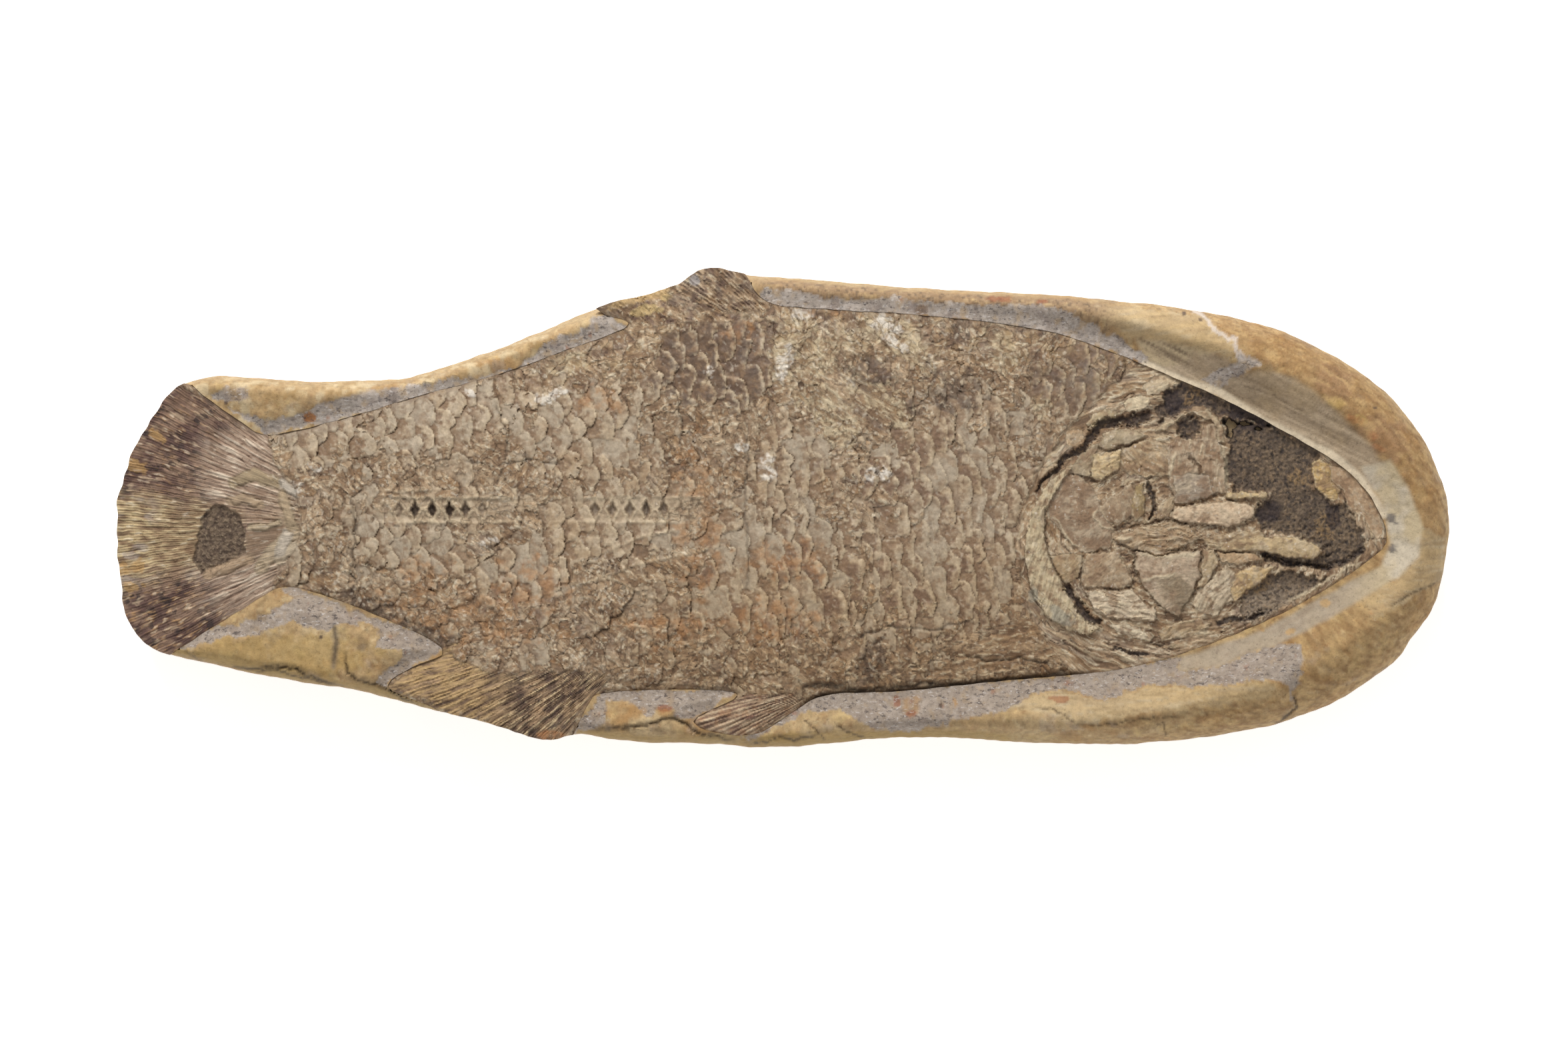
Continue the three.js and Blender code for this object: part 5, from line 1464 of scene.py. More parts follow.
    colour = painted(
        colour,
        ((132, 106, 80), on_bone * 0.5 * smooth(0.1, 0.8, -fibres + 0.35 * varied)),
        ((210, 194, 162), on_bone * 0.5 * smooth(0.2, 0.85, fibres)),
        ((138, 110, 84), on_bone * 0.65 * smooth(0.0, 0.6, varied + 0.3 * mottle)),
        ((188, 170, 144), on_bone * 0.55 * smooth(0.1, 0.7, -varied + 0.4 * mottle)),
        ((120, 94, 72), on_bone * 0.5 * smooth(0.35, 0.9, mottle)),
        ((206, 190, 164), on_bone * 0.45 * smooth(0.45, 0.9, -mottle)),
        # painted highlight on the bones' edges
        ((206, 190, 162), on_bone * 0.4 * edge_highlight * smooth(-0.4, 0.4, noise(x, y, 2.6, 661))),
        ((224, 216, 204), 0.5 * on_bone * smooth(0.6, 0.85, lumps)
         * smooth(0.0, 0.4, noise(x, y, 5, 667))),
        ((98, 78, 60), on_bone * 0.35 * smooth(0.955, 0.99, crazing)
         * smooth(-0.2, 0.3, noise(x, y, 7, 663))),
        ((130, 114, 90), 0.75 * facet * smooth(-0.9, 0.3, broad)),
        ((206, 190, 160), 0.7 * lines),
        # painted shade round the bones' edges
        ((100, 80, 64), 0.4 * under * smooth(-0.3, 0.5, noise(x, y, 2.5, 664))),
        (dark_ground, groove * (0.3 + 0.58 * wide_groove)),
        ((150, 146, 132), 0.6 * blue),
        (BLACK, 0.97 * pit),
    )
    colour = colour * (1 + 0.11 * fine + 0.07 * lumps + 0.06 * small)[:, None]
    return height, colour, 0.35 * on_bone * (1 - groove), (flow_x, flow_y)


# Ovals on the photo, as spot() takes them.
STRAW_RIDGE = [(968, 466, 26, 8, 5), (1000, 446, 12, 6, 20)]


def back_ridge(x, y):
    """The crumpled ground at the foot of the back fin."""
    px, py = turned(x, y, -40, 1.6)
    relief, colour, bits = rubble(px, py, 670)
    rim = rim_depth(x, y) + 0.5 * bits
    colour = painted(
        colour,
        (PLUM_BROWN, 0.7 * smooth(0.0, 0.6, fractal(x, y, 5, 3, 675))),
        (STRAW, 0.8 * spots(x, y, STRAW_RIDGE, 0.5, 676)),
        ((188, 158, 112), 0.85 * smooth(2.6, 1.0, rim) * smooth(-30, -36, x)),
    )
    return 1.3 * relief, colour * (1.06 + 0.1 * bits)[:, None], 0 * x, (1.6 * px, py)


def face_surface(x, y):
    """Height in mm, colour, gloss and grain of the fish at each point."""
    depth = fish_depth(x, y)
    inner = np.maximum(depth, 0)
    base = along(FISH_EDGE, x) + along(FISH_DOME, x) * (1 - np.exp(-inner / 12))
    left = np.ones(x.shape)
    relief, colour, gloss = np.zeros(x.shape), np.zeros((len(x), 3)), np.zeros(x.shape)
    flow = np.column_stack([x, y])

    def lay(share, surface):
        """Puts a part's surface where it belongs, on top of what comes later."""
        amount = left * share
        left[:] -= amount
        need = amount > 0.001
        if need.any():
            part_relief, part_colour, part_gloss, part_flow = surface(need)
            relief[need] += amount[need] * part_relief
            colour[need] += amount[need][:, None] * part_colour
            gloss[need] += amount[need] * part_gloss
            most = amount[need] > 0.5
            flow[np.flatnonzero(need)[most]] = np.column_stack(part_flow)[most]

    for k, share in enumerate(fin_shares(x, y)):
        lay(share, lambda need: small_fin(k, x[need], y[need]))
    in_ridge = smooth(-0.8, 1.0, near_depth(BACK_RIDGE, x + noise(x, y, 4, 601), y))
    lay(in_ridge, lambda need: back_ridge(x[need], y[need]))
    in_tail = smooth(-0.8, 0.8, near_depth(TAIL_ROOT, *shaken(x, y, 1, 4, 602)))
    lay(in_tail, lambda need: tail_fin(x[need], y[need]))
    in_head = smooth(-1.2, 1.2, x - head_line(y) + 1.5 * noise(x, y, 4, 604))
    lay(in_head, lambda need: skull(x[need], y[need]))
    lay(np.ones(x.shape), lambda need: scaled_body(x[need], y[need], inner[need]))

    # The fish's edge dips into the stone, darkened by painted crevice shade, most below the belly.
    deep_side = smooth(2, 12, x) * smooth(100, 86, x) * (y < 0)
    border = 0.06 + 0.9 * deep_side + 0.25 * smooth(105, 120, x) + 0.1 * (y < 0)
    border = np.clip(border + 0.25 * noise(x, y, 9, 605), 0, 1)
    dip = 0.6 * border * bell(inner, 0.4 + 0.4 * border)
    height = base + relief * smooth(0, 1.4, inner) - dip
    shade = smooth(0.6 + 1.1 * border, 0.1, inner + 0.3 * noise(x, y, 1.5, 606))
    colour = painted(
        colour,
        (CREVICE_SHADE, 0.8 * shade * border),
        # painted shadow of the stone's wall, just inside the fish's upper edge
        ((118, 98, 80), 0.4 * smooth(2.6, 0.6, inner + noise(x, y, 3, 607)) * (y > 0)
         * smooth(90, 60, x)),
    )
    return height, np.clip(colour, 0.002, 0.95), gloss, 1 - 0.8 * gloss, flow


# Meshes.


def clipped_grid(inside, box, step):
    """Triangles of a square lattice, cut along the line where inside(x, y) is 0."""
    i = np.arange(math.floor(box[0] / step), math.ceil(box[2] / step) + 1)
    j = np.arange(math.floor(box[1] / step), math.ceil(box[3] / step) + 1)
    gi, gj = np.meshgrid(i, j)
    x, y = (gi * step).ravel().astype(float), (gj * step).ravel().astype(float)
    d = inside(x, y)
    # Points close to the line move onto it, so that no triangle is cut very thin.
    near = np.abs(d) < 0.22 * step
    e = 0.04
    nx, ny = x[near], y[near]
    slope_x = (inside(nx + e, ny) - inside(nx - e, ny)) / (2 * e)
    slope_y = (inside(nx, ny + e) - inside(nx, ny - e)) / (2 * e)
    steep = np.maximum(slope_x**2 + slope_y**2, 0.3)
    x[near] = nx - d[near] * slope_x / steep
    y[near] = ny - d[near] * slope_y / steep
    d[near] = 0
    index = np.arange(len(x)).reshape(gi.shape)
    a, b, c, f = index[:-1, :-1], index[:-1, 1:], index[1:, 1:], index[1:, :-1]
    even = ((gi + gj) % 2 == 0)[:-1, :-1]
    one = np.where(even[..., None], np.stack([a, b, c], -1), np.stack([a, b, f], -1)).reshape(-1, 3)
    two = np.where(even[..., None], np.stack([a, c, f], -1), np.stack([b, c, f], -1)).reshape(-1, 3)
    triangles = np.vstack([one, two])
    triangles = triangles[(d[triangles] > 0).any(axis=1)]
    out = d[triangles] < 0
    whole = triangles[~out.any(axis=1)]
    cut, cut_out = triangles[out.any(axis=1)], out[out.any(axis=1)]
    one_out = cut_out.sum(axis=1) == 1
    lone = np.where(one_out, cut_out.argmax(axis=1), (~cut_out).argmax(axis=1))
    rows = np.arange(len(cut))
    p, q, r = cut[rows, lone], cut[rows, (lone + 1) % 3], cut[rows, (lone + 2) % 3]
    pairs = np.sort(np.vstack([np.stack([p, q], -1), np.stack([p, r], -1)]), axis=1)
    unique, places = np.unique(pairs, axis=0, return_inverse=True)
    places = places.ravel()
    t = d[unique[:, 0]] / (d[unique[:, 0]] - d[unique[:, 1]])
    cut_x = x[unique[:, 0]] + t * (x[unique[:, 1]] - x[unique[:, 0]])
    cut_y = y[unique[:, 0]] + t * (y[unique[:, 1]] - y[unique[:, 0]])
    made = len(x) + places
    pq, pr = made[: len(cut)], made[len(cut):]
    pq = np.where(one_out & (d[q] == 0), q, pq)
    pr = np.where(one_out & (d[r] == 0), r, pr)
    k, m = one_out, ~one_out
    corners = [(pq[k], q[k], r[k]), (pq[k], r[k], pr[k]), (p[m], pq[m], pr[m])]
    triangles = np.vstack([whole] + [np.stack(three, -1) for three in corners])
    x, y = np.concatenate([x, cut_x]), np.concatenate([y, cut_y])
    a, b, c = triangles.T
    triangles = triangles[(a != b) & (b != c) & (c != a)]
    used, triangles = np.unique(triangles, return_inverse=True)
    return x[used], y[used], triangles.reshape(-1, 3)


def border_loops(triangles):
    """Closed loops of border points, with the surface on the left."""
    edges = np.vstack([triangles[:, [0, 1]], triangles[:, [1, 2]], triangles[:, [2, 0]]])
    top = int(edges.max()) + 1
    forward = edges[:, 0] * top + edges[:, 1]
    free = edges[~np.isin(forward, edges[:, 1] * top + edges[:, 0])]
    following = {}
    for a, b in free.tolist():
        following.setdefault(a, []).append(b)
    loops = []
    while following:
        start = next(iter(following))
        loop = [start]
        while True:
            choices = following[loop[-1]]
            nxt = choices.pop()
            if not choices:
                del following[loop[-1]]
            if nxt == start or nxt not in following:
                break
            loop.append(nxt)
        if len(loop) > 7:
            loops.append(np.array(loop))
    return loops


def loop_area(x, y, loop):
    """The area inside a loop of points, less than 0 for a hole."""
    lx, ly = x[loop], y[loop]
    return 0.5 * np.sum(lx * np.roll(ly, -1) - np.roll(lx, -1) * ly)


def wall(upper, lower):
    """Triangles between two rings of as many points, facing away from the surface above."""
    a, b = upper, np.roll(upper, -1)
    c, d = lower, np.roll(lower, -1)
    return np.vstack([np.stack([a, c, d], -1), np.stack([a, d, b], -1)])


def cap(x, y, loops, up):
    """Triangles that fill a flat area between loops."""
    shape = [[Vector((x[i], y[i], 0)) for i in loop] for loop in loops]
    ids = np.concatenate(loops)
    filled = ids[np.array(geometry.tessellate_polygon(shape))]
    a, b, c = filled.T
    area = (x[b] - x[a]) * (y[c] - y[a]) - (x[c] - x[a]) * (y[b] - y[a])
    flip = (area < 0) == up
    filled[flip] = filled[flip][:, ::-1]
    return filled


def foot_triangles(x, y, loop):
    """Points inside the flat foot, and triangles that join them to its border, facing down."""
    gx, gy = np.meshgrid(np.arange(-180, 180, FOOT_STEP), np.arange(-60, 60, FOOT_STEP))
    gx = gx + 0.5 * FOOT_STEP * (np.arange(gy.shape[0]) % 2)[:, None]
    gx, gy = gx.ravel(), gy.ravel()
    gx, gy = shaken(gx, gy, 0.8, 2.3, 710)
    inside = depth_in(np.stack([x[loop], y[loop]], -1), gx, gy) > 1.5
    gx, gy = gx[inside], gy[inside]
    rim = len(loop)
    spots_2d = [Vector(point) for point in zip(np.concatenate([x[loop], gx]),
                                               np.concatenate([y[loop], gy]))]
    border = [(i, (i + 1) % rim) for i in range(rim)]
    _, _, faces, sources, _, _ = geometry.delaunay_2d_cdt(spots_2d, border, [], 1, 1e-6)
    source = np.array([ids[0] for ids in sources])
    faces = source[np.array([face[:] for face in faces])]
    px, py = np.concatenate([x[loop], gx]), np.concatenate([y[loop], gy])
    a, b, c = faces.T
    up = (px[b] - px[a]) * (py[c] - py[a]) - (px[c] - px[a]) * (py[b] - py[a]) > 0
    faces[up] = faces[up][:, ::-1]
    return gx, gy, faces


def new_piece(name, x, y, z, triangles, colour, gloss, grain, material, flow=None):
    """Makes a mesh of points in mm, with what its material reads at each of them."""
    mesh = bpy.data.meshes.new(name)
    mesh.vertices.add(len(x))
    mesh.vertices.foreach_set("co", (np.column_stack([x, y, z]) * MM).ravel())
    mesh.loops.add(3 * len(triangles))
    mesh.loops.foreach_set("vertex_index", triangles.ravel().astype(np.int32))
    mesh.polygons.add(len(triangles))
    mesh.polygons.foreach_set("loop_start", np.arange(0, 3 * len(triangles), 3, dtype=np.int32))
    mesh.update(calc_edges=True)
    mesh.validate()
    tint = mesh.attributes.new("tint", "FLOAT_COLOR", "POINT")
    tint.data.foreach_set("color", np.column_stack([colour, np.ones(len(x))]).ravel())
    for label, values in (("gloss", gloss), ("grain", grain)):
        mesh.attributes.new(label, "FLOAT", "POINT").data.foreach_set("value", values)
    if flow is not None:
        along_grain = mesh.attributes.new("flow", "FLOAT_VECTOR", "POINT")
        along_grain.data.foreach_set("vector", np.column_stack([flow, np.zeros(len(x))]).ravel())
    mesh.shade_smooth()
    mesh.set_sharp_from_angle(angle=math.radians(SHARP_EDGE))
    mesh.materials.append(material)
    piece = bpy.data.objects.new(name, mesh)
    bpy.context.scene.collection.objects.link(piece)
    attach(piece, "root")
    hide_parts("fossil_fish_slab")
    print(name, len(triangles), "triangles")
    return piece


def face_piece(name, inside, box, material, step=BODY_STEP):
    """A part of the fish: its face, walls down into the stone, and a flat back."""
    x, y, triangles = clipped_grid(inside, box, step)
    z, colour, gloss, grain, flow = face_surface(x, y)
    loops = border_loops(triangles)
    top = len(x)
    parts = [triangles]
    rings = [np.arange(len(loop)) + top + sum(len(other) for other in loops[:k]) for k,
             loop in enumerate(loops)]
    border = sum(len(loop) for loop in loops)
    for loop, ring in zip(loops, rings):
        parts += [wall(loop, ring), wall(ring, ring + border)]
    ids = np.concatenate([np.arange(top), *loops, *loops])
    x, y, z, colour, gloss, grain = x[ids], y[ids], z[ids], colour[ids], gloss[ids], grain[ids]
    # The wall turns to plain stone just under the edge.
    z[top:] -= WALL_RING
    z[top + border:] = along(FISH_EDGE, x[top + border:]) - FLOOR_DEPTH + BACK_LIFT
    colour[top:] = 0.15 * colour[top:] + 0.78 * crust_colour(x[top:], y[top:], z[top:])
    gloss[top:], grain[top:] = 0, 0
    parts.append(cap(x, y, [ring + border for ring in rings], False))
    return new_piece(name, x, y, z, np.vstack(parts), colour, gloss, grain, material, flow[ids])


def nodule_piece(material):
    """The stone: margin, rounded shoulder, sides, flat underside, and a floor below the fish."""

    def inside(x, y):
        rim = rim_depth(x, y)
        return np.minimum(rim, np.maximum(-fish_depth(x, y), 3 - rim))

    x, y, triangles = clipped_grid(inside, (-203, -76, 203, 76), MARGIN_STEP)
    rim, fish = rim_depth(x, y), fish_depth(x, y)
    # Near the rim the points draw closer together, so that the steep shoulder is as fine as the rest.
    shoulder = along(SHOULDER, x)
    near = (rim > 0) & (rim < shoulder)
    wanted = shoulder * (1 - np.cos(np.clip(rim / shoulder, 0, 1) * math.pi / 2))
    e = 0.3
    slope_x = (smooth_rim(x + e, y) - smooth_rim(x - e, y)) / (2 * e)
    slope_y = (smooth_rim(x, y + e) - smooth_rim(x, y - e)) / (2 * e)
    long = np.maximum(np.hypot(slope_x, slope_y), 0.5)
    off_fish = smooth(0.0, 3.0, -fish)
    move = np.where(near, (wanted - rim) * off_fish, 0)
    x, y = x + move * slope_x / long, y + move * slope_y / long
    z, marks = margin_surface(x, y)
    low = along(FISH_EDGE, x) - FLOOR_DEPTH
    fish = fish_depth(x, y)
    under_fin = fish > 0.05
    z = np.where(under_fin, np.minimum(z, low), z)
    colour = margin_colour(x, y, z, marks)
    loops = border_loops(triangles)
    outer = max(loops, key=lambda loop: loop_area(x, y, loop))
    holes = [loop for loop in loops if loop is not outer]
    xs, ys, zs, parts = [x], [y], [z], [triangles]
    count = len(x)
    floors = []
    for loop in holes:
        lower = count + np.arange(len(loop))
        count += len(loop)
        xs.append(x[loop])
        ys.append(y[loop])
        zs.append(along(FISH_EDGE, x[loop]) - FLOOR_DEPTH)
        parts.append(wall(loop, lower))
        floors.append(lower)
    # Sides: a quarter of an oval from the rim down and in to the foot.
    rx, ry, rz = x[outer], y[outer], z[outer]
    reach = np.concatenate([[0], np.cumsum(np.hypot(np.diff(nodule_line[:, 0]),
                                                    np.diff(nodule_line[:, 1])))])
    gap = (rx[:, None] - nodule_line[None, :, 0]) ** 2 + (ry[:, None] - nodule_line[None, :, 1]) ** 2
    share = reach[gap.argmin(axis=1)] / reach[-1]
    foot_reach = np.linspace(0, 1, len(foot_line) + 1)
    closed_foot = np.vstack([foot_line, foot_line[:1]])
    fx = np.interp(share, foot_reach, closed_foot[:, 0])
    fy = np.interp(share, foot_reach, closed_foot[:, 1])
    for _ in range(40):
        fx = 0.5 * fx + 0.25 * (np.roll(fx, 1) + np.roll(fx, -1))
        fy = 0.5 * fy + 0.25 * (np.roll(fy, 1) + np.roll(fy, -1))
    upper = outer
    for k in range(1, SIDE_RINGS + 1):
        turn = k / SIDE_RINGS * math.pi / 2
        inward = 1 - math.cos(turn)
        share_up = 1 - math.sin(turn) if k < SIDE_RINGS else 0.0
        sx, sy, sz = rx + (fx - rx) * inward, ry + (fy - ry) * inward, rz * share_up
        out_x, out_y = rx - fx, ry - fy
        length = np.hypot(out_x, out_y)
        layer = noise(sx * 0.06, sz * 1.0 + 0.12 * sy, 1.6, 701)
        swell = 0.7 * fractal(sx + 0.8 * sz, sy - 0.6 * sz, 13, 4, 702) + 0.3 * layer
        swell = (swell - 0.5) * math.sin(math.pi * min(1.0, (k / SIDE_RINGS) ** 0.8))
        sx, sy = sx + swell * out_x / length, sy + swell * out_y / length
        lower = count + np.arange(len(outer))
        count += len(outer)
        xs.append(sx)
        ys.append(sy)
        zs.append(sz)
        parts.append(wall(upper, lower))
        upper = lower
    foot_x, foot_y, foot = foot_triangles(sx, sy, np.arange(len(outer)))
    xs.append(foot_x)
    ys.append(foot_y)
    zs.append(np.zeros(len(foot_x)))
    parts.append(np.where(foot < len(outer), foot + upper[0], foot - len(outer) + count))
    all_x, all_y, all_z = np.concatenate(xs), np.concatenate(ys), np.concatenate(zs)
    parts.append(cap(all_x, all_y, floors, True))
    sx, sy, sz = all_x[len(x):], all_y[len(x):], all_z[len(x):]
    skin = crust_colour(sx, sy, sz)
    bands = noise(sx * 0.05, sz + 0.1 * sy, 1.5, 703)
    below = smooth(0.0, 0.4, 1 - sz / along(WAIST, sx))
    skin = painted(
        skin,
        (PALE_OCHRE, 0.4 * below * smooth(0.0, 0.6, bands)),
        (ROUGH_BROWN, 0.35 * below * smooth(0.1, 0.7, -bands)),
    )
    colour = np.vstack([colour, skin])
    grey = np.zeros(len(all_x))
    grey[: len(x)] = marks["grey"]
    colour = np.clip(colour, 0.002, 0.95)
    return new_piece("stone_nodule", all_x, all_y, all_z, np.vstack(parts), colour, 0 * grey, grey,
                     material)


# Materials.


class Nodes:
    """A small helper to wire a material's nodes."""

    def __init__(self, name):
        self.material = bpy.data.materials.new(name)
        self.material.use_nodes = True
        self.tree = self.material.node_tree
        self.shader = self.tree.nodes["Principled BSDF"]

    def add(self, kind, **settings):
        node = self.tree.nodes.new(kind)
        for key, value in settings.items():
            if key in node.inputs:
                node.inputs[key].default_value = value
            else:
                setattr(node, key, value)
        return node

    def link(self, a, b):
        self.tree.links.new(a, b)

    def attribute(self, name):
        return self.add("ShaderNodeAttribute", attribute_name=name)

    def noise(self, scale, detail=6.0, roughness=0.6, distortion=0.0, stretch=(1, 1, 1), place=None):
        if place is None:
            place = self.add("ShaderNodeTexCoord").outputs["Object"]
        mapping = self.add("ShaderNodeMapping")
        mapping.inputs["Scale"].default_value = stretch
        self.link(place, mapping.inputs["Vector"])
        node = self.add("ShaderNodeTexNoise", Scale=scale, Detail=detail, Roughness=roughness,
                        Distortion=distortion)
        self.link(mapping.outputs["Vector"], node.inputs["Vector"])
        return node.outputs["Fac"]

    def ramp(self, value, stops):
        node = self.add("ShaderNodeValToRGB")
        elements = node.color_ramp.elements
        while len(elements) < len(stops):
            elements.new(0.5)
        for element, (place, level) in zip(elements, stops):
            element.position = place
            element.color = (level, level, level, 1) if isinstance(level, float) else (*level, 1)
        self.link(value, node.inputs["Fac"])
        return node.outputs["Color"]

    def math(self, operation, a, b):
        node = self.add("ShaderNodeMath", operation=operation)
        for socket, value in zip(node.inputs, (a, b)):
            if isinstance(value, (int, float)):
                socket.default_value = value
            else:
                self.link(value, socket)
        return node.outputs["Value"]

    def mix(self, kind, amount, a, b):
        node = self.add("ShaderNodeMix", data_type="RGBA", blend_type=kind)
        for socket, value in zip((node.inputs[0], node.inputs[6], node.inputs[7]), (amount, a, b)):
            if isinstance(value, (int, float)):
                socket.default_value = value
            elif isinstance(value, tuple):
                socket.default_value = (*value, 1)
            else:
                self.link(value, socket)
        return node.outputs[2]

    def bump(self, height, strength, distance, before=None):
        node = self.add("ShaderNodeBump", Strength=strength, Distance=distance)
        self.link(height, node.inputs["Height"])
        if before is not None:
            self.link(before, node.inputs["Normal"])
        return node.outputs["Normal"]


def stone_material():
    """Weathered limestone: mottled crust, fine pores and a powdery, matt surface."""
    n = Nodes("nodule_limestone")
    tint = n.attribute("tint").outputs["Color"]
    grey = n.attribute("grain").outputs["Fac"]
    mottle = n.ramp(n.noise(480, 10, 0.75), [(0.3, 0.74), (0.5, 1.0), (0.72, 1.2)])
    pores = n.ramp(n.noise(1300, 4, 0.65), [(0.3, 0.55), (0.41, 1.0), (0.62, 1.0), (0.74, 1.14)])
    colour = n.mix("MULTIPLY", 1.0, tint, mottle)
    colour = n.mix("MULTIPLY", 0.75, colour, pores)
    # Dark grains and light flecks of the sawn grey stone.
    crowd = n.ramp(n.noise(150, 3, 0.6), [(0.35, 0.25), (0.6, 1.0)])
    specks = n.ramp(n.noise(1050, 4, 0.65, 0.0, (0.6, 1, 1)), [(0.54, 0.0), (0.63, 1.0)])
    amount = n.math("MULTIPLY", n.math("MULTIPLY", specks, grey), n.math("MULTIPLY", crowd, 0.8))
    colour = n.mix("MIX", amount, colour, tuple(tone(78, 70, 68)))
    flecks = n.ramp(n.noise(1250, 4, 0.6, 0.0, (0.5, 1, 1)), [(0.33, 1.0), (0.42, 0.0)])
    amount = n.math("MULTIPLY", n.math("MULTIPLY", flecks, grey), 0.6)
    colour = n.mix("MIX", amount, colour, tuple(tone(206, 198, 192)))
    n.link(colour, n.shader.inputs["Base Color"])
    rough = n.ramp(n.noise(260, 5, 0.6), [(0.3, 0.72), (0.7, 0.95)])
    n.link(rough, n.shader.inputs["Roughness"])
    n.shader.inputs["Specular IOR Level"].default_value = 0.28
    first = n.bump(n.noise(700, 8, 0.7), 0.55, 0.0005)
    n.link(n.bump(n.noise(2400, 4, 0.6), 0.45, 0.0002, first), n.shader.inputs["Normal"])
    return n.material


def fossil_material(name, drawn_out, contrast, streaky, shine):
    """Mineralised bone and scale: plates with a dull gloss, streaked or granular where they are broken.

    The flow attribute holds each point's place in mm along and across the fibres, so that the fine streaks
    follow the rays of the fins and the layers of the bones.
    """
    n = Nodes(name)
    tint = n.attribute("tint").outputs["Color"]
    gloss = n.attribute("gloss").outputs["Fac"]
    grain = n.attribute("grain").outputs["Fac"]
    flow = n.attribute("flow").outputs["Vector"]
    along_flow = (drawn_out, 1, 1)
    speckle = n.noise(620, 8, 0.7, 0.4)
    dark = n.ramp(speckle, [(0.28, 1.0 - contrast), (0.48, 1.0), (0.75, 1.0 + contrast)])
    colour = n.mix("MULTIPLY", 1.0, tint, dark)
    streaks = n.noise(1.25, 6, 0.68, 0.3, along_flow, flow)
    lined = n.ramp(streaks, [(0.28, 1.0 - streaky), (0.5, 1.0), (0.74, 1.0 + 0.8 * streaky)])
    colour = n.mix("MULTIPLY", grain, colour, lined)
    flecks = n.ramp(n.noise(1.9, 5, 0.65, 0.0, along_flow, flow), [(0.63, 0.0), (0.74, 1.0)])
    amount = n.math("MULTIPLY", n.math("MULTIPLY", flecks, grain), 0.5)
    colour = n.mix("MIX", amount, colour, tuple(tone(212, 198, 176)))
    grime = n.ramp(n.noise(1.0, 6, 0.65, 0.6, along_flow, flow), [(0.33, 1.0), (0.43, 0.0)])
    amount = n.math("MULTIPLY", n.math("MULTIPLY", grime, grain), 0.5)
    colour = n.mix("MIX", amount, colour, tuple(tone(80, 62, 48)))
    n.link(colour, n.shader.inputs["Base Color"])
    base = n.ramp(n.noise(330, 5, 0.6), [(0.3, 0.66), (0.7, 0.9)])
    rough = n.math("SUBTRACT", base, n.math("MULTIPLY", gloss, shine))
    n.link(rough, n.shader.inputs["Roughness"])
    n.shader.inputs["Specular IOR Level"].default_value = 0.42
    first = n.bump(n.noise(640, 8, 0.72, 0.3), 0.5, 0.0005)
    n.link(n.bump(n.math("MULTIPLY", streaks, grain), 0.7, 0.0006, first), n.shader.inputs["Normal"])
    return n.material


def floor_material():
    n = Nodes("studio_floor")
    n.shader.inputs["Base Color"].default_value = (0.93, 0.93, 0.93, 1)
    n.shader.inputs["Roughness"].default_value = 0.9
    n.shader.inputs["Specular IOR Level"].default_value = 0.1
    n.shader.inputs["Emission Color"].default_value = (1, 1, 1, 1)
    n.shader.inputs["Emission Strength"].default_value = 0.6
    return n.material


# The pieces.

limestone = stone_material()
scale_stone = fossil_material("fossil_scales", 0.4, 0.2, 0.3, 0.28)
bone_stone = fossil_material("fossil_bone", 0.42, 0.22, 0.26, 0.22)
ray_stone = fossil_material("fossil_fin_rays", 0.1, 0.14, 0.46, 0.1)


def face_part(*limits):
    """Inside the fish and the rim, and on the wanted side of each limit."""

    def inside(x, y):
        d = np.minimum(fish_depth(x, y) - FACE_INSET, rim_depth(x, y))
        for limit in limits:
            d = np.minimum(d, limit(x, y))
        return d

    return inside


def before_head(x, y):
    return (head_line(y) - 0.8 - x) * 0.8


def past_head(x, y):
    return -before_head(x, y)


def past_tail(x, y):
    return x + TAIL_SPLIT


def before_tail(x, y):
    return -past_tail(x, y)


def front(x, y):
    return x + BODY_SPLIT + SCALE_LEAN * y


def rear(x, y):
    return -front(x, y)


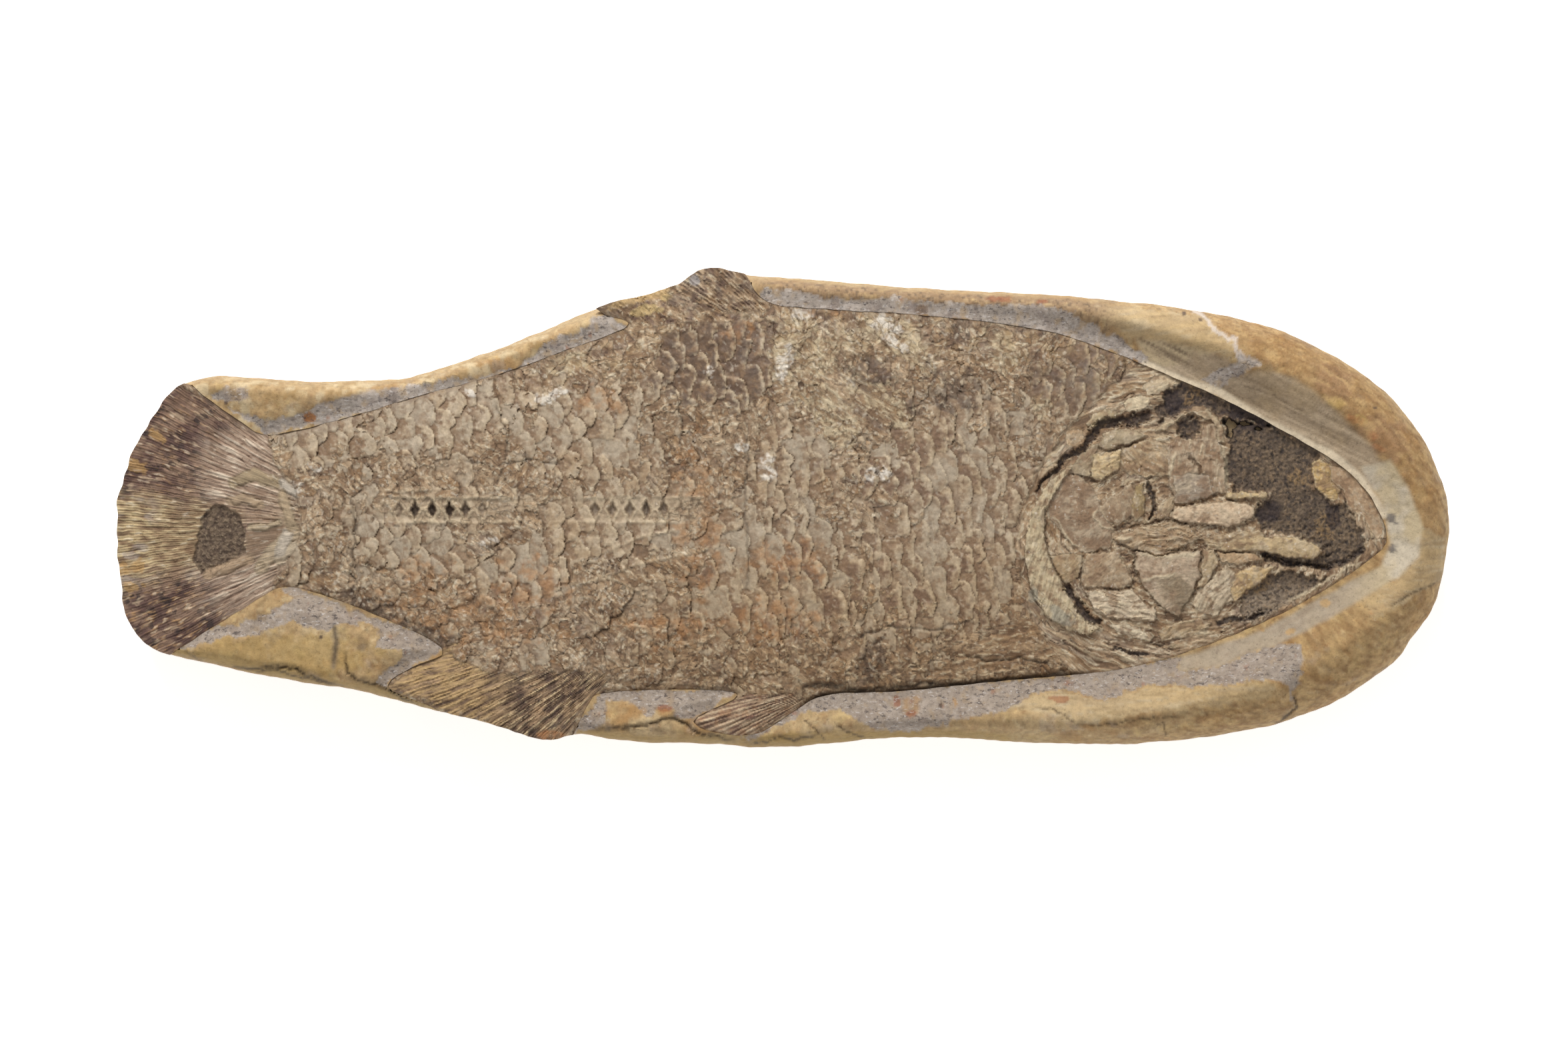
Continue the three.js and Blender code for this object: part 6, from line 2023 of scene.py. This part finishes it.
nodule_piece(limestone)
face_piece("tail_fin", face_part(before_tail), (-204, -52, -150, 42), ray_stone, TAIL_STEP)
face_piece("body_rear", face_part(past_tail, rear), (-154, -76, 0, 76), scale_stone)
face_piece("body_front", face_part(front, before_head), (-60, -74, 130, 76), scale_stone)
face_piece("head", face_part(past_head), (60, -60, 186, 66), bone_stone, HEAD_STEP)

# Floor, light and camera.

floor_mesh = bpy.data.meshes.new("floor")
floor_mesh.from_pydata([(-3, -3, 0), (3, -3, 0), (3, 3, 0), (-3, 3, 0)], [], [(0, 1, 2, 3)])
floor = bpy.data.objects.new("floor", floor_mesh)
floor_mesh.materials.append(floor_material())
bpy.context.scene.collection.objects.link(floor)


def area_light(name, place, target, size, watts, colour=(1, 1, 1)):
    light = bpy.data.lights.new(name, "AREA")
    light.shape = "RECTANGLE"
    light.size, light.size_y = size
    light.energy = watts
    light.color = colour
    lamp = bpy.data.objects.new(name, light)
    lamp.location = place
    lamp.rotation_euler = (Vector(target) - Vector(place)).to_track_quat("-Z", "Y").to_euler()
    bpy.context.scene.collection.objects.link(lamp)


area_light("key_light", (-0.25, 1.15, 0.95), (0, 0, 0.03), (1.0, 0.7), 22, (1.0, 0.99, 0.965))
area_light("fill_light", (0.5, -1.2, 1.1), (0, 0, 0.03), (1.4, 1.0), 4, (0.97, 0.98, 1.0))
world = bpy.data.worlds.new("studio")
world.use_nodes = True
world.node_tree.nodes["Background"].inputs["Color"].default_value = (1, 1, 1, 1)
world.node_tree.nodes["Background"].inputs["Strength"].default_value = 0.42
bpy.context.scene.world = world

camera = bpy.data.cameras.new("camera")
camera.lens = 500
camera.sensor_width = 36
eye = bpy.data.objects.new("camera", camera)
# The photo looks straight down, and its scale is that of the slab's widest part.
view_width = PHOTO_SIZE[0] / PIXELS_PER_MM * MM
view_height = 0.030
distance = view_width / (camera.sensor_width / camera.lens)
centre_x, centre_y = at(PHOTO_SIZE[0] / 2, PHOTO_SIZE[1] / 2)
eye.location = (centre_x * MM, centre_y * MM, view_height + distance)
eye.rotation_euler = (0, 0, 0)
camera.clip_start, camera.clip_end = 0.05, 20
bpy.context.scene.collection.objects.link(eye)
bpy.context.scene.camera = eye

bpy.context.scene.view_settings.view_transform = "Standard"
bpy.context.view_layer.update()
